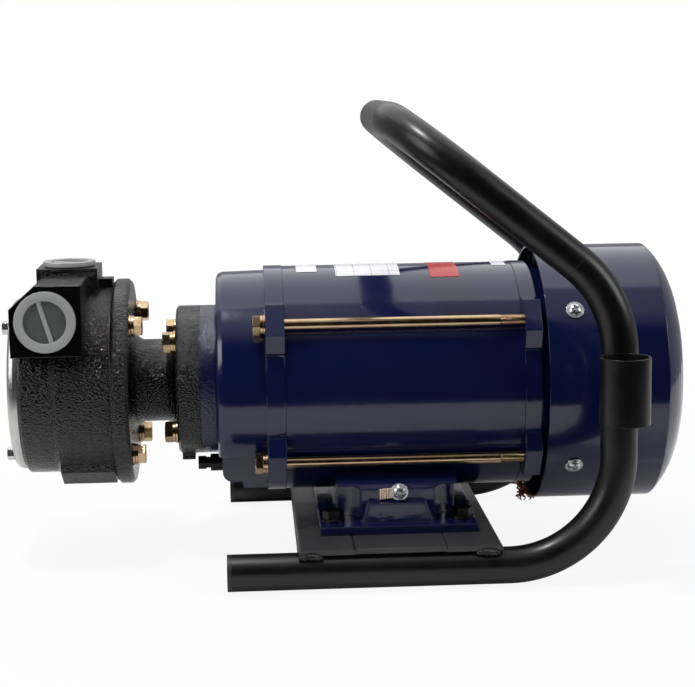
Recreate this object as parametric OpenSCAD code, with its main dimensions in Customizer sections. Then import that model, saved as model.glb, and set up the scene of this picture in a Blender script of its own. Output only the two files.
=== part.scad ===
// Fuel transfer pump: a vane pump, its bracket and an electric motor on a
// carrying frame of bent tube. The motor's axis runs along X, the pump is
// at the low X end and the carrying handle leans over the motor from the
// back. The origin is on the floor, midway between the rails and below
// the middle of the motor's foot.

/* [Tube frame] */
// Outside diameter of the frame tube
tube_d = 25; // [20:0.5:28]
// Wall of the frame tube
tube_wall = 2; // [1.2:0.1:3]
// Distance between the centres of the two rails
track_w = 249; // [232:1:270]
// How far the rails reach in front of the foot's middle
rail_front = 119; // [100:1:140]
// Distance from the foot's middle back to the uprights
upright_back = 146; // [140:1:160]
// Centreline radius of the bend from rail to upright
lower_bend_r = 74; // [50:1:80]
// Centreline radius of the bend from upright to handle arm
upper_bend_r = 80; // [50:1:90]
// Height at which the uprights begin to lean forward
upright_top = 155; // [150:1:170]
// Slope of the handle arms above the horizontal
arm_slope = 38.7; // [32:0.1:45]
// Length of the handle arms, from bend to crossbar centre
arm_len = 150; // [130:1:170]
// Centreline radius of the two bends beside the grip
grip_bend_r = 68; // [45:1:90]
// Thickness of the end plugs' heads
plug_head_t = 3; // [2:0.5:5]
// Depth to which the end plugs reach into the rails
plug_depth = 14; // [8:1:20]

/* [Cross bars] */
// Width of each cross bar
bar_w = 38; // [34:1:40]
// Thickness of the cross bar sheet
bar_t = 4; // [3:0.5:6]
// Depth of the lips turned down along the bars' edges
bar_lip = 9; // [6:0.5:11]
// How far the bars reach past the centres of the rails
bar_overhang = 8.5; // [4:0.5:12]
// Distance between the centrelines of the two bars
bar_pitch = 99.5; // [96:0.5:106]
// How far the pair of bars lies in front of the foot's middle
bar_shift = 2.2; // [1:0.1:3]

/* [Nozzle holder] */
// Bore of the nozzle holder
holder_bore = 30; // [26:0.5:34]
// Wall of the nozzle holder
holder_wall = 1.7; // [1.2:0.1:3]
// Length of the nozzle holder
holder_len = 44; // [34:1:60]
// Height of the nozzle holder's lower end above the floor
holder_low = 114; // [100:1:116]
// How far its axis lies in front of the upright's
holder_front = 2.5; // [0:0.5:6]

/* [Motor] */
// Height of the motor's axis above the floor
axis_h = 124; // [120:1:135]
// Outside diameter of the stator housing
stator_d = 163; // [156:1:166]
// Wall of the stator housing
stator_wall = 5; // [3:0.5:6]
// Length of the stator housing
stator_len = 166.5; // [155:0.5:175]
// How far the housing's middle lies behind the foot's middle
stator_back = 6.75; // [0:0.25:10]
// Bore of the stator core
core_bore = 82; // [76:1:86]
// How far the core's ends stay inside the housing's ends
core_inset = 16; // [14:0.5:22]
// Number of slots in the stator core
slot_count = 24; // [12:6:36]
// Depth of a slot
slot_depth = 20; // [14:1:22]
// Width of a slot
slot_w = 5; // [3:0.5:6]
// Width of a slot's mouth in the core's bore
slot_mouth = 2.2; // [1.5:0.1:2.8]
// Thickness of the teeth's tips beside the slots' mouths
tooth_tip = 1.5; // [1:0.1:2.5]
// How far the end windings stand out of the core
coil_out = 24; // [18:1:26]
// Diameter of the motor shaft in the rotor
shaft_d = 28; // [24:1:32]
// Air gap between the stator core and the rotor
air_gap = 0.5; // [0.3:0.1:1]

/* [End shields] */
// Length of the band at the front of the housing
front_band_len = 13; // [10:0.5:18]
// Length of the band at the back of the housing
rear_band_len = 11.5; // [10:0.5:16]
// How far the bands stand out past the housing's surface
band_step = 0.5; // [0.2:0.1:2]
// Wall of the end shields
shield_wall = 7; // [5:0.5:8]
// Diameter of the front shield's drum at its front
drum_d = 156; // [144:1:156]
// How far the drum widens from its front to the band, on the radius
drum_taper = 0.8; // [0.2:0.1:0.9]
// Length of the front shield's drum
drum_len = 34.5; // [30:0.5:40]
// How far below the axis the drum's flat underside lies
drum_flat = 46; // [42:1:50]
// Diameter of the spigot that the bracket's ring meets
spigot_d = 108; // [100:1:112]
// Length of the spigot
spigot_len = 12; // [8:0.5:16]
// Diameter of the pilot that centres the bracket's ring
pilot_d = 78; // [70:1:80]
// Length of the pilot
pilot_len = 4; // [2:0.5:6]
// Width of the block under the drum
sump_w = 68; // [50:1:80]
// How far the block's lowest face lies below the axis
sump_drop = 75; // [72:1:80]
// Diameter of the tie rods
rod_d = 8; // [6:1:10]
// Gap between the tie rods and the housing
rod_gap = 0.9; // [0.5:0.1:2]
// Angle of the tie rods above and below the horizontal
rod_tilt = 34.2; // [30:0.1:42]
// Width of the tie rod ears at their root
ear_w = 40; // [30:1:44]
// How far the ears stand out past the rods' centres
ear_out = 7; // [6:0.5:10]

/* [Bearings] */
// Bore of the ball bearings
bearing_bore = 20; // [18:1:20]
// Outside diameter of the ball bearings
bearing_d = 47; // [44:1:50]
// Width of the ball bearings
bearing_w = 14; // [12:1:15]
// Diameter of the balls
ball_d = 7.9; // [6:0.1:8.5]
// Number of balls in a bearing
ball_count = 8; // [6:1:8]

/* [Fan and its cover] */
// Outside diameter of the fan cover
fan_cover_d = 186; // [182:1:192]
// Length of the fan cover
fan_cover_len = 103; // [94:1:112]
// Sheet thickness of the fan cover
fan_cover_t = 1.5; // [1:0.1:2.5]
// Gap between the rear band and the fan cover
fan_cover_gap = 3.5; // [2:0.5:6]
// Height of the fan cover's domed end
fan_cover_dome = 19; // [14:1:22]
// Diameter of the air holes
air_hole_d = 8; // [5:0.5:9]
// Distance between the rings of air holes
air_ring_pitch = 12; // [11:0.5:14]
// Number of rings of air holes
air_ring_count = 5; // [3:1:5]
// How far the cover screws lie behind the cover's front edge
cover_screw_back = 20; // [17:0.5:24]
// Angle of the cover screws above and below the horizontal
cover_screw_tilt = 36; // [30:0.5:42]
// Diameter of the cooling fan
fan_d = 158; // [140:1:164]
// Depth of the cooling fan's blades
fan_depth = 26; // [18:1:32]
// Thickness of the blades
blade_t = 2.5; // [2:0.1:4]
// Number of blades
blade_count = 8; // [5:1:10]

/* [Motor foot] */
// Length of the foot along the motor
foot_len = 110; // [104:1:116]
// Width of the foot across the motor
foot_w = 196; // [190:1:200]
// Thickness of the foot's corner pads
pad_t = 6; // [5:0.5:8]
// Height of the foot's middle strip above the pads
strip_rise = 3; // [2:0.5:4]
// Width of the middle strip
strip_w = 86; // [76:1:96]
// Length of the pedestal along the motor
pedestal_len = 84; // [76:1:90]
// Depth of the pedestal across the motor at its root
pedestal_w = 172; // [164:1:176]
// Radius of the scoops over the corner pads
scoop_r = 20; // [16:0.5:22]
// Distance between the foot bolts along the motor
foot_bolt_x = 90; // [88:1:92]
// Distance between the foot bolts across the motor
foot_bolt_y = 160; // [154:1:164]
// Length of the foot's slots past round
slot_extra = 5; // [2:0.5:8]

/* [Bracket] */
// Diameter of the bracket's pump flange
flange_d = 149; // [144:1:156]
// Thickness of the pump flange
flange_t = 12.5; // [10:0.5:16]
// Diameter of the bracket's neck
neck_d = 60; // [56:1:66]
// Length of the neck between flange and ring
neck_len = 32; // [28:1:40]
// Thickness of the bracket's motor ring
ring_len = 17; // [13:0.5:22]
// Bore of the neck
neck_bore = 46; // [44:1:50]
// How far the ring's lower lug reaches below the axis
ring_lug_drop = 57.5; // [56:0.5:64]

/* [Pump] */
// Diameter of the pump body's front part
body_front_d = 130; // [126:1:134]
// Length of the pump body's front part
body_front_len = 22; // [18:1:26]
// Diameter of the pump body's rear part
body_rear_d = 138; // [134:1:142]
// Length of the pump body's rear part
body_rear_len = 42; // [40:1:48]
// Diameter of the pump cover
cover_d = 124; // [120:1:125]
// Thickness of the pump cover
cover_t = 7; // [5:0.5:9]
// Thickness of the gaskets
gasket_t = 0.5; // [0.3:0.1:1]
// Diameter of the pocket for the cam ring
pocket_d = 96; // [92:1:98]
// Depth of the pocket, which is also the cam ring's width
pocket_depth = 38; // [34:1:40]
// Diameter of the pump rotor
rotor_d = 64; // [58:1:68]
// Eccentricity of the cam ring
cam_offset = 4; // [3:0.1:5]
// Number of vanes
vane_count = 5; // [4:1:6]
// Thickness of a vane
vane_t = 5; // [4:0.5:6]
// Depth of a vane
vane_depth = 15; // [12:0.5:17]
// Diameter of the pump shaft
pump_shaft_d = 18; // [16:1:20]

/* [Ports] */
// Minor diameter of the port thread, a 1 inch pipe thread
port_minor_d = 30.3; // [28:0.1:30.8]
// Major diameter of the port thread, at the lead-in
port_major_d = 33.3; // [32:0.1:34]
// Depth of the lead-in, which holds the plug's skirt
port_lead = 7; // [5:0.5:9]
// Length of the threaded stretch
port_thread = 14; // [12:0.5:16]
// Width and height of the side port's block
side_block_w = 49; // [45:1:51]
// Distance from the axis to the side port's face
side_face = 78; // [76:1:84]
// Height of the side port above the axis
side_port_up = 55; // [54:0.5:58]
// How far the side port lies behind the body's front face
side_port_in = 23; // [22.5:0.5:24]
// Width of the top port's boss
top_block_w = 43; // [40:1:45]
// Height of the top port's face above the axis
top_face = 85; // [84:1:90]
// How far the top port lies behind the body's front face
top_port_in = 33; // [31:0.5:35]
// Diameter of the side plug's rim
side_plug_d = 42; // [38:0.5:45]
// Diameter of the top plug's rim
top_plug_d = 37.5; // [36:0.5:40]
// Thickness of the side plug's rim
side_plug_t = 3.5; // [2.5:0.5:5]
// Thickness of the top plug's rim
top_plug_t = 3.5; // [2.5:0.5:6]

/* [Relief valve] */
// Bore of the relief valve
valve_bore = 13; // [11:0.5:14]
// Distance from the axis to the relief valve's centre
valve_side = 63; // [62:0.5:66]
// Diameter of the boss round the relief valve
valve_boss_d = 23; // [21:0.5:25]
// Height of the relief valve's seat below the axis
valve_low = 18; // [14:1:22]
// Height of the boss's top above the axis
valve_top = 47; // [46:1:52]
// Travel of the valve's poppet
valve_travel = 6; // [3:0.5:7]

/* [Terminal box] */
// Length of the terminal box along the motor
box_len = 92; // [80:1:110]
// Height of the terminal box
box_h = 76; // [64:1:84]
// Distance from the axis to the terminal box's outer edge
box_side = 116; // [112:1:120]
// Wall of the terminal box
box_wall = 4; // [3:0.5:5]
// Thickness of the terminal box's lid
lid_t = 5; // [3:0.5:6]
// Bore of the cable gland
gland_bore = 11; // [8:0.5:13]

/* [Fasteners and fits] */
// Diameter of the flange, ring and foot bolts
bolt_d = 8; // [6:1:8]
// Width across the flats of their heads and nuts
bolt_flats = 13; // [10:0.5:13]
// Height of their heads and nuts
bolt_head = 5.5; // [4:0.5:7]
// Thickness of the washers
washer_t = 1.6; // [1:0.2:2.4]
// Thickness of the spring washers
lock_t = 2.2; // [1.4:0.2:2.6]
// Diameter of the washers
washer_d = 16; // [14:0.5:16.5]
// Diameter of the small screws
screw_d = 5; // [4:0.5:5]
// Diameter of the small screws' heads
screw_head_d = 10; // [8:0.5:11]
// Height of the small screws' heads
screw_head = 3.2; // [2.4:0.2:4]
// Radial clearance of the bolts in plain holes
bolt_gap = 0.4; // [0.3:0.05:0.5]
// Radial clearance that stands for a screw thread
thread_gap = 0.1; // [0.05:0.01:0.15]
// Radial clearance of the shafts in bushes and seals
run_gap = 0.05; // [0.02:0.01:0.09]
// Clearance between other parts that move past each other
move_gap = 0.3; // [0.25:0.05:0.5]

/* [Hidden] */
$fn = 72;
overrun = tube_d / 25;
over_turn = 1;

tube_r = tube_d / 2;
rail_y = track_w / 2;
rail_x0 = -rail_front + plug_head_t;
arm_turn = 90 - arm_slope;
arm_foot = [upright_back - upper_bend_r + upper_bend_r * cos(arm_turn),
    upright_top + upper_bend_r * sin(arm_turn)];
grip_x = arm_foot[0] - arm_len * cos(arm_slope);
grip_z = arm_foot[1] + arm_len * sin(arm_slope);
bar_top = tube_d + bar_t;
bar_xs = [-bar_shift - bar_pitch / 2, -bar_shift + bar_pitch / 2];

stator_r = stator_d / 2;
stator_x0 = stator_back - stator_len / 2;
stator_x1 = stator_back + stator_len / 2;
core_r = stator_r - stator_wall;
band_r = stator_r + band_step;
band_bore_r = core_r - band_step;
band_x0 = stator_x0 - front_band_len;
band_x1 = stator_x1 + rear_band_len;
drum_x0 = band_x0 - drum_len;
spigot_x0 = drum_x0 - spigot_len;
ring_x0 = spigot_x0 - ring_len;
neck_x0 = ring_x0 - neck_len;
flange_x0 = neck_x0 - flange_t;
body_x1 = flange_x0 - gasket_t;
body_step_x = body_x1 - body_rear_len;
body_x0 = body_step_x - body_front_len;
cover_x1 = body_x0 - gasket_t;
cover_x0 = cover_x1 - cover_t;
pocket_x1 = body_x0 + pocket_depth;

rod_r = stator_r + rod_gap + rod_d / 2;
rod_turns = [for (s = [-1, 1]) for (t = [90 - rod_tilt, 90 + rod_tilt]) s * t];
rod_head = bolt_head * 1.3;
hub_r = bearing_d / 2 + shield_wall;
front_bearing_x0 = drum_x0 + shield_wall - overrun;
rear_bearing_x0 = band_x1 + overrun;
fan_cover_x0 = band_x1 + fan_cover_gap;
fan_cover_x1 = fan_cover_x0 + fan_cover_len;
fan_cover_r = fan_cover_d / 2;
skirt_len = cover_screw_back + screw_head_d;
skirt_x1 = fan_cover_x0 + skirt_len;
cover_screw_x = fan_cover_x0 + cover_screw_back;
cover_screw_turns = [for (s = [-1, 1])
    for (t = [90 - cover_screw_tilt, 90 + cover_screw_tilt]) s * t];
fan_x0 = skirt_x1 + washer_d / 4;
shaft_x1 = fan_x0 + fan_depth + washer_d / 4;

foot_z0 = bar_top;
pad_top = foot_z0 + pad_t;
strip_top = pad_top + strip_rise;
shoulder_z = axis_h - stator_r * 0.78;
boss_top = pad_top + (shoulder_z - pad_top) * 0.55;
foot_face = (pedestal_w - pad_t) / 2;

earth_x = pedestal_len * 0.012;
earth_z = boss_top + screw_head_d * 0.65;
earth_depth = screw_head_d;
tag_t = washer_t / 2;

stud_d = rod_d;
stud_y = -sump_w * 0.28;
stud_z = axis_h - drum_flat - stud_d * 1.55;
stud_x0 = drum_x0 + shield_wall * 0.3;
stud_x1 = stud_x0 + stud_d;
lead_d = rod_d * 0.8;
lead_x = stator_x1 + rear_band_len * 0.4;

flange_bolt_r = (body_rear_d - washer_d) / 2 + run_gap;
flange_bolt_turns = [for (s = [-1, 1]) for (t = [41.5, 139.5]) s * t];
ring_bolt_r = (spigot_d - washer_d) / 2 - run_gap;
ring_bolt_turns = [45, 135, 225, 315];
cover_screw_r = (cover_d + pocket_d) / 4 + run_gap;
pump_screw_turns = [for (s = [-1, 1]) for (t = [35, 145]) s * t];
cam_turn = 45;
cam_bore_r = rotor_d / 2 + cam_offset + move_gap;
bush_r = pump_shaft_d / 2 + shield_wall * 0.7;
seal_r = bush_r + screw_d / 2;
rear_wall = body_x1 - pocket_x1;
coupling_r = neck_bore / 2 - screw_d / 2;
coupling_x0 = flange_x0 + flange_t;
coupling_x1 = spigot_x0 - pilot_len - washer_t;
coupling_mid = (coupling_x0 + coupling_x1) / 2;
journal_r = bearing_bore / 2;
race_r = (bearing_d + bearing_bore) / 4;
fan_hub_r = journal_r * 1.6;
fan_bore_r = journal_r * 0.8;

side_port_x = body_x0 + side_port_in;
top_port_x = body_x0 + top_port_in;
side_port_z = axis_h + side_port_up;
top_port_z = axis_h + top_face;
passage_r = port_minor_d * 0.36;
outlet_r = port_minor_d * 0.44;
valve_x = body_step_x + valve_boss_d * 0.4;
valve_seat_z = axis_h - valve_low;
valve_top_z = axis_h + valve_top;
poppet_len = valve_bore * 1.2;
spring_z0 = valve_seat_z + poppet_len;
spring_wire = valve_bore * 0.11;
spring_r = valve_bore / 2 - spring_wire;
spring_turns = 7;

box_x = stator_back - stator_len * 0.03;
gland_y = box_side - box_wall - washer_d;
gland_z = axis_h - box_h * 0.2;
box_x0 = box_x - box_len / 2;
box_z0 = axis_h - box_h / 2;

// A cylinder round the motor's axis, from x0 to x1.
module on_axis(r, x0, x1) {
    translate([x0, 0, axis_h]) rotate([0, 90, 0])
        cylinder(r = r, h = x1 - x0);
}

// A hollow cylinder round the motor's axis.
module ring_on_axis(r, bore_r, x0, x1) {
    difference() {
        on_axis(r, x0, x1);
        on_axis(bore_r, x0 - overrun, x1 + overrun);
    }
}

// A turned shape round the motor's axis, from points [x, radius].
module turned(points) {
    translate([0, 0, axis_h]) rotate([0, 90, 0]) rotate_extrude()
        polygon([for (p = points) [p[1], p[0]]]);
}

// Turns what points up to an angle round the motor's axis. A positive
// angle leans to the near side, low Y.
module at_turn(a) {
    translate([0, 0, axis_h]) rotate([a, 0, 0]) children();
}

// A flat outline in Y and Z, drawn along X from x0 to x1.
module along_x(x0, x1) {
    translate([x0, 0, 0]) rotate([90, 0, 90])
        linear_extrude(height = x1 - x0) children();
}

// A flat outline in X and Z, drawn along Y from y0 to y1.
module along_y(y0, y1) {
    translate([0, y1, 0]) rotate([90, 0, 0])
        linear_extrude(height = y1 - y0) children();
}

// A plain cylinder along X from a point.
module rod_x(d, x0, x1) {
    translate([x0, 0, 0]) rotate([0, 90, 0]) cylinder(d = d, h = x1 - x0);
}

// A hexagon head or nut, its flat faces across `flats`, rising along Z.
module hex_head(flats, h) {
    cylinder(d = flats / cos(30), h = h, $fn = 6);
}

// A hexagon bolt along Z: the washer's face on zero, a spring washer and
// the head above it and the shank below it.
module hex_bolt(d, flats, head, len, lock) {
    cylinder(d = washer_d, h = washer_t);
    translate([0, 0, washer_t]) cylinder(d = washer_d * 0.84, h = lock);
    translate([0, 0, washer_t + lock]) hex_head(flats, head);
    translate([0, 0, -len]) cylinder(d = d, h = len + washer_t);
}

// A slot along X with round ends, cut down Z.
module slot(d, extra, h) {
    for (s = [-1, 1]) translate([s * extra / 2, 0, 0]) cylinder(d = d, h = h);
    translate([-extra / 2, -d / 2, 0]) cube([extra, d, h]);
}

// A bend of round bar in the XY plane, from one angle through another.
module round_bend(d, r, from, turn) {
    rotate([0, 0, from]) rotate_extrude(angle = turn)
        translate([r, 0]) circle(d = d);
}

// One side of the frame as round bar: rail, bend, upright and bend. The
// rail's front end is drawn out by `more` and the last bend by `turn`.
module side_run(d, more, turn) {
    rail_len = upright_back - lower_bend_r - rail_x0;
    translate([rail_x0 - more, 0, tube_r]) rotate([0, 90, 0])
        cylinder(d = d, h = rail_len + more);
    translate([upright_back - lower_bend_r, 0, tube_r + lower_bend_r])
        rotate([90, 0, 0]) round_bend(d, lower_bend_r, -90, 90);
    translate([upright_back, 0, tube_r + lower_bend_r])
        cylinder(d = d, h = upright_top - tube_r - lower_bend_r);
    translate([upright_back - upper_bend_r, 0, upright_top])
        rotate([90, 0, 0]) round_bend(d, upper_bend_r, 0, arm_turn + turn);
}

// The handle as round bar, in a plane of its own: X runs down the arms
// from the grip's centre and Y along the grip.
module handle_run(d, more) {
    grip_half = rail_y - grip_bend_r;
    translate([0, grip_half, 0]) rotate([90, 0, 0])
        cylinder(d = d, h = 2 * grip_half);
    translate([grip_bend_r, -grip_half, 0])
        round_bend(d, grip_bend_r, 180, 90);
    translate([grip_bend_r, grip_half, 0])
        round_bend(d, grip_bend_r, 90, 90);
    for (s = [-1, 1]) translate([grip_bend_r, s * rail_y, 0])
        rotate([0, 90, 0]) cylinder(d = d, h = arm_len - grip_bend_r + more);
}

module frame_side(y) {
    color("#1b1c1e") translate([0, y, 0]) difference() {
        side_run(tube_d, 0, 0);
        side_run(tube_d - 2 * tube_wall, overrun, over_turn);
    }
}

module frame_side_near() {
    frame_side(-rail_y);
}

module frame_side_far() {
    frame_side(rail_y);
}

module frame_handle() {
    color("#1b1c1e") translate([grip_x, 0, grip_z])
        rotate([0, arm_slope, 0]) difference() {
            handle_run(tube_d, 0);
            handle_run(tube_d - 2 * tube_wall, overrun);
        }
}

module rail_end_plugs() {
    color("#141414") for (s = [-1, 1])
        translate([-rail_front, s * rail_y, tube_r]) rotate([0, 90, 0]) {
            cylinder(r = tube_r, h = plug_head_t);
            cylinder(r = tube_r - tube_wall, h = plug_head_t + plug_depth);
        }
}

// The section of a cross bar: a flat top whose edges turn down.
module bar_outline(lip) {
    half = bar_w / 2;
    polygon([[-half, -lip], [-half, bar_t * 0.5],
        [-half + bar_t * 0.15, bar_t * 0.85], [-half + bar_t * 0.5, bar_t],
        [half - bar_t * 0.5, bar_t], [half - bar_t * 0.15, bar_t * 0.85],
        [half, bar_t * 0.5], [half, -lip], [half - bar_t * 0.75, -lip],
        [half - bar_t * 0.75, 0], [bar_t * 0.75 - half, 0],
        [bar_t * 0.75 - half, -lip]]);
}

module cross_bar(x) {
    lip_half = rail_y - tube_r - bar_t;
    end_half = rail_y + bar_overhang;
    difference() {
        translate([x, 0, tube_d]) {
            along_y(-end_half, end_half) intersection() {
                bar_outline(bar_lip);
                translate([-bar_w, 0]) square([2 * bar_w, bar_t]);
            }
            along_y(-lip_half, lip_half) bar_outline(bar_lip);
        }
        for (s = [-1, 1]) translate([foot_bolt_x / 2 * sign(x),
            s * foot_bolt_y / 2, tube_d - overrun])
            cylinder(d = bolt_d + 2 * bolt_gap, h = bar_t + 2 * overrun);
    }
}

module cross_bar_front() {
    color("#202124") cross_bar(bar_xs[0]);
}

module cross_bar_rear() {
    color("#202124") cross_bar(bar_xs[1]);
}

module nozzle_holder() {
    outer_r = holder_bore / 2 + holder_wall;
    reach = sqrt(pow(tube_r + outer_r, 2) - pow(holder_front, 2));
    color("#1b1c1e") translate([upright_back - holder_front,
        -rail_y - reach, holder_low]) difference() {
        cylinder(r = outer_r, h = holder_len);
        translate([0, 0, -overrun])
            cylinder(d = holder_bore, h = holder_len + 2 * overrun);
    }
}

// Places a piece at each of the four foot bolts.
module at_foot_bolts(z) {
    for (x = [-1, 1]) for (y = [-1, 1])
        translate([x * foot_bolt_x / 2, y * foot_bolt_y / 2, z]) children();
}

module foot_bolts() {
    color("#2a2a2c") at_foot_bolts(pad_top) hex_bolt(bolt_d, bolt_flats,
        bolt_head, pad_t + bar_t + washer_t + bolt_head + washer_t,
        washer_t / 2);
}

module foot_nuts() {
    color("#2a2a2c") at_foot_bolts(tube_d - washer_t - bolt_head)
        difference() {
            union() {
                hex_head(bolt_flats, bolt_head);
                translate([0, 0, bolt_head])
                    cylinder(d = washer_d, h = washer_t);
            }
            translate([0, 0, -overrun]) cylinder(
                r = bolt_d / 2 + thread_gap,
                h = bolt_head + washer_t + 2 * overrun);
        }
}

// The outline of the pedestal in Y and Z: it draws in to its shoulder
// and then runs in under the housing.
module pedestal_outline() {
    root = pedestal_w / 2;
    neck = foot_face;
    under = stator_r * 0.7;
    polygon([[-root, pad_top], [-neck, boss_top],
        [-neck, shoulder_z - strip_rise], [-neck + strip_rise, shoulder_z],
        [-under, shoulder_z + pad_t], [0, axis_h],
        [under, shoulder_z + pad_t], [neck - strip_rise, shoulder_z],
        [neck, shoulder_z - strip_rise], [neck, boss_top],
        [root, pad_top]]);
}

module motor_foot() {
    scoop_top = shoulder_z - pad_t / 2 - pad_top;
    boss_w = pedestal_len / 2;
    color("#141a3c") difference() {
        union() {
            translate([-foot_len / 2, -foot_w / 2, foot_z0])
                cube([foot_len, foot_w, pad_t]);
            translate([-foot_len / 2, -strip_w / 2, foot_z0])
                cube([foot_len, strip_w, pad_t + strip_rise]);
            difference() {
                along_x(-pedestal_len / 2, pedestal_len / 2)
                    pedestal_outline();
                for (x = [-1, 1]) for (y = [-1, 1]) {
                    translate([x * foot_bolt_x / 2, y * foot_bolt_y / 2,
                        pad_top]) cylinder(r = scoop_r, h = scoop_top);
                    translate([x * foot_bolt_x / 2, y * foot_bolt_y / 2,
                        pad_top + scoop_top])
                        cylinder(r1 = scoop_r, r2 = scoop_r * 0.7,
                            h = pad_t / 3);
                }
            }
            for (s = [-1, 1]) mirror([0, s > 0 ? 1 : 0, 0])
                along_y(-pedestal_w / 2 - pad_t * 0.7,
                    -pedestal_w / 2 + pad_t) polygon([
                    [-boss_w * 0.56, pad_top], [-boss_w * 0.48, boss_top],
                    [boss_w * 0.44, boss_top], [boss_w * 0.56, pad_top]]);
        }
        on_axis(stator_r, -foot_len, foot_len);
        at_foot_bolts(foot_z0 - overrun) slot(bolt_d + 2 * bolt_gap,
            slot_extra, pad_t + 2 * overrun);
        translate([earth_x, -pedestal_w / 2 - overrun, earth_z])
            rotate([-90, 0, 0]) cylinder(r = screw_d / 2 + thread_gap,
                h = earth_depth + pad_t);
    }
}

module earth_screw() {
    color("#c9ccd0") translate([earth_x, -foot_face - tag_t, earth_z])
        rotate([90, 0, 0]) {
            translate([0, 0, -earth_depth])
                cylinder(d = screw_d, h = earth_depth);
            cylinder(d = screw_head_d * 1.25, h = washer_t);
            cylinder(d = screw_head_d * 0.85, h = washer_t + screw_head);
        }
}

// The end of the bonding strip, held under the earth screw.
module earth_tag() {
    tag_w = screw_head_d * 0.9;
    tag_len = washer_d * 2;
    color("#b5714c") difference() {
        translate([earth_x - tag_len, -foot_face - tag_t,
            earth_z - tag_w * 0.6]) cube([tag_len + tag_w / 2, tag_t, tag_w]);
        translate([earth_x, -foot_face - washer_t, earth_z])
            rotate([-90, 0, 0]) cylinder(r = screw_d / 2 + bolt_gap,
                h = 2 * washer_t);
    }
}

module stator_housing() {
    color("#141a3c") ring_on_axis(stator_r, core_r, stator_x0, stator_x1);
}

// The slots of the stator core, each drawn in from all sides by `inset`,
// behind the tips of the teeth.
module core_slots(inset, x0, x1) {
    for (i = [0 : slot_count - 1]) at_turn(i * 360 / slot_count)
        translate([x0, -slot_w / 2 + inset,
            core_bore / 2 + tooth_tip + inset])
            cube([x1 - x0, slot_w - 2 * inset,
                slot_depth - tooth_tip - 2 * inset]);
}

// The narrow mouths through which the slots open into the core's bore.
module slot_mouths(x0, x1) {
    for (i = [0 : slot_count - 1]) at_turn(i * 360 / slot_count)
        translate([x0, -slot_mouth / 2, core_bore / 2 - overrun])
            cube([x1 - x0, slot_mouth, tooth_tip + 2 * overrun]);
}

module stator_core() {
    x0 = stator_x0 + core_inset;
    x1 = stator_x1 - core_inset;
    color("#7c8088") difference() {
        ring_on_axis(core_r, core_bore / 2, x0, x1);
        core_slots(0, x0 - overrun, x1 + overrun);
        slot_mouths(x0 - overrun, x1 + overrun);
    }
}

module stator_windings() {
    x0 = stator_x0 + core_inset;
    x1 = stator_x1 - core_inset;
    coil_in = core_bore / 2 + move_gap;
    coil_r = core_bore / 2 + slot_depth;
    color("#a8552b") {
        core_slots(move_gap, x0 - overrun, x1 + overrun);
        for (m = [0, 1]) translate([stator_back, 0, 0]) mirror([m, 0, 0])
            turned([[x1 - stator_back, coil_in],
                [x1 - stator_back, coil_r],
                [x1 - stator_back + coil_out * 0.6, coil_r],
                [x1 - stator_back + coil_out, coil_r - coil_out * 0.3],
                [x1 - stator_back + coil_out, coil_in + coil_out * 0.2],
                [x1 - stator_back + coil_out * 0.8, coil_in]]);
    }
}

// The ears that carry the tie rods, round a band.
module rod_ears(x0, x1) {
    root = (drum_d / 2 + drum_taper
        + sqrt(pow(band_r, 2) - pow(ear_w / 2, 2))) / 2;
    for (a = rod_turns) at_turn(a) along_x(x0, x1)
        polygon([[-ear_w / 2, root], [-ear_w / 2, rod_r - rod_d / 2],
            [-ear_w * 0.3, rod_r + ear_out], [ear_w * 0.3, rod_r + ear_out],
            [ear_w / 2, rod_r - rod_d / 2], [ear_w / 2, root]]);
}

// The side view of the block under the drum, its top on zero: its front
// corner is rounded off and its underside steps down once.
module sump_outline() {
    deep = sump_drop - drum_flat;
    front = deep - shield_wall * 0.7;
    r = shield_wall;
    x0 = drum_x0 + shield_wall * 0.3;
    polygon(concat([[x0, shield_wall]],
        [for (a = [0 : 15 : 90]) [x0 + r - r * cos(a),
            r - front - r * sin(a)]],
        [[drum_x0 + drum_len * 0.46, -front],
        [drum_x0 + drum_len * 0.5, -deep], [band_x0 + overrun, -deep],
        [band_x0 + overrun, shield_wall]]));
}

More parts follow.
